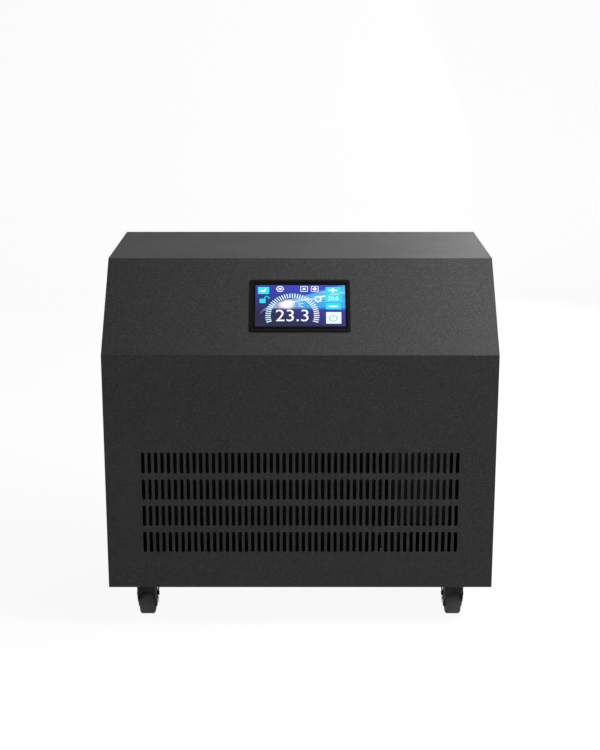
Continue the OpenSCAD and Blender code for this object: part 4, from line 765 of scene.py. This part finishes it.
# Water ports: turned from brass, with an outside pipe thread, a hexagon against the rear
# panel and a hose tail inside. The thread's ridges are even rings round the stub. The
# lathe leaves fine lines, and the brass has dulled here and there.
brass = Finish("port_brass", (0.55, 0.4, 0.17), 0.3, metallic=1.0)
brass_dull = brass.noise(55.0, detail=4.0)
brass_tooling = brass.noise(90.0, detail=2.0, place=brass.scaled(1.0, 14.0, 1.0))
brass.link("Roughness", 0.22 + brass_dull * 0.24)
brass.link("Base Color", brass.mixed(
    brass.spread(brass_dull, 0.35, 0.75), (0.6, 0.44, 0.19), (0.38, 0.27, 0.12)))
brass.bump(brass_tooling, strength=0.1, distance=0.0002)
brass.cover("port_nuts")

port_r = 0.0132
thread_pitch, thread_depth = 0.0018, 0.0011
ridge_rise, ridge_crest, ridge_fall = 0.4, 0.55, 0.95
thread_runout, thread_chamfer = 0.0024, 0.0012
crest_lead_in, root_lead_in = 0.0004, 0.0002
hexagon_across, hexagon_thick, hexagon_bevel = 0.036, 0.006, 0.0005
bore_r, tail_r, tail_l = 0.009, 0.011, 0.008
mouth_chamfer = 0.0006

for name, node in (("water_inlet_port", "water_inlet_union"),
                   ("water_outlet_port", "water_outlet_union")):
    low, high = (Vector(corner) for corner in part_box(node))
    middle = (low + high) / 2
    thread_y = rear_face_y + hexagon_thick + thread_runout
    root_r = port_r - thread_depth
    ridges = int((high.y - thread_chamfer - thread_y) / thread_pitch)
    outline = [(bore_r, low.y), (tail_r, low.y), (tail_r, low.y + tail_l),
               (port_r, low.y + tail_l), (port_r, rear_face_y + hexagon_thick / 2),
               (root_r, rear_face_y + hexagon_thick / 2), (root_r, thread_y)]
    for k in range(ridges):
        foot = thread_y + thread_pitch * k
        outline += [(port_r, foot + ridge_rise * thread_pitch),
                    (port_r, foot + ridge_crest * thread_pitch),
                    (root_r, foot + ridge_fall * thread_pitch)]
    outline += [(port_r - crest_lead_in, high.y - thread_chamfer),
                (root_r - root_lead_in, high.y),
                (bore_r + mouth_chamfer, high.y), (bore_r, high.y - mouth_chamfer)]
    stub = turned(outline, steps=64)
    stub.data.transform(Matrix.Translation((middle.x, 0, middle.z)))
    bpy.ops.object.select_all(action="DESELECT")
    bpy.ops.mesh.primitive_cylinder_add(
        vertices=6, radius=hexagon_across / 2 / math.cos(math.radians(30)),
        depth=hexagon_thick, location=(middle.x, rear_face_y + hexagon_thick / 2, middle.z),
        rotation=(math.radians(90), math.radians(30), 0))
    hexagon = bpy.context.object
    bpy.ops.object.transform_apply(location=True, rotation=True, scale=True)
    bpy.ops.object.mode_set(mode="EDIT")
    bpy.ops.mesh.select_all(action="SELECT")
    bpy.ops.mesh.bevel(offset=hexagon_bevel, segments=2, affect="EDGES")
    bpy.ops.object.mode_set(mode="OBJECT")
    port = joined([stub, hexagon])
    port.name = name
    bpy.ops.object.shade_smooth_by_angle(angle=math.radians(30))
    port.data.materials.clear()
    port.data.materials.append(brass.material)
    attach(port, "cabinet")
    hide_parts(node)

# Control box: folded steel in dark grey enamel on the bulkhead, closed by a flat lid
# behind the front grille, with the circuit board on four posts inside.
box_enamel = Finish("box_enamel", (0.006, 0.006, 0.0063), 0.55, gloss=0.12)
box_peel = box_enamel.noise(240.0, detail=2.0)
box_dust = box_enamel.noise(18.0, detail=4.0)
box_enamel.link("Roughness", 0.48 + box_dust * 0.2)
box_enamel.link("Base Color", box_enamel.mixed(
    box_dust, (0.004, 0.004, 0.0042), (0.009, 0.009, 0.0093)))
box_enamel.bump(box_peel, strength=0.15, distance=0.0003)
box_enamel.cover("control_box", "control_box_cover")

mask = Finish("solder_mask", (0.01, 0.1, 0.04), 0.35, gloss=0.5)
mask_tracks = mask.node("ShaderNodeTexBrick", {"offset": 0.5}, {
    "Vector": mask.place, "Scale": 60.0, "Mortar Size": 0.03,
    "Color1": (0.008, 0.085, 0.034, 1), "Color2": (0.012, 0.115, 0.046, 1),
    "Mortar": (0.02, 0.16, 0.07, 1)})
mask.link("Base Color", mask_tracks)
mask.link("Roughness", 0.3 + mask.noise(80.0) * 0.15)
mask.cover("control_board")

# Power switch: a rocker moulded in satin black plastic, which clips on two stub pins
# into the same frame as the inlet.
rocker = Finish("rocker_plastic", (0.012, 0.012, 0.0122), 0.38, gloss=0.35)
rocker_haze = rocker.noise(90.0, detail=3.0)
rocker.link("Roughness", 0.34 + rocker_haze * 0.14)
rocker.link("Base Color", rocker.mixed(rocker_haze, (0.01, 0.01, 0.0102), (0.015, 0.015, 0.0155)))
rocker.cover("power_rocker")
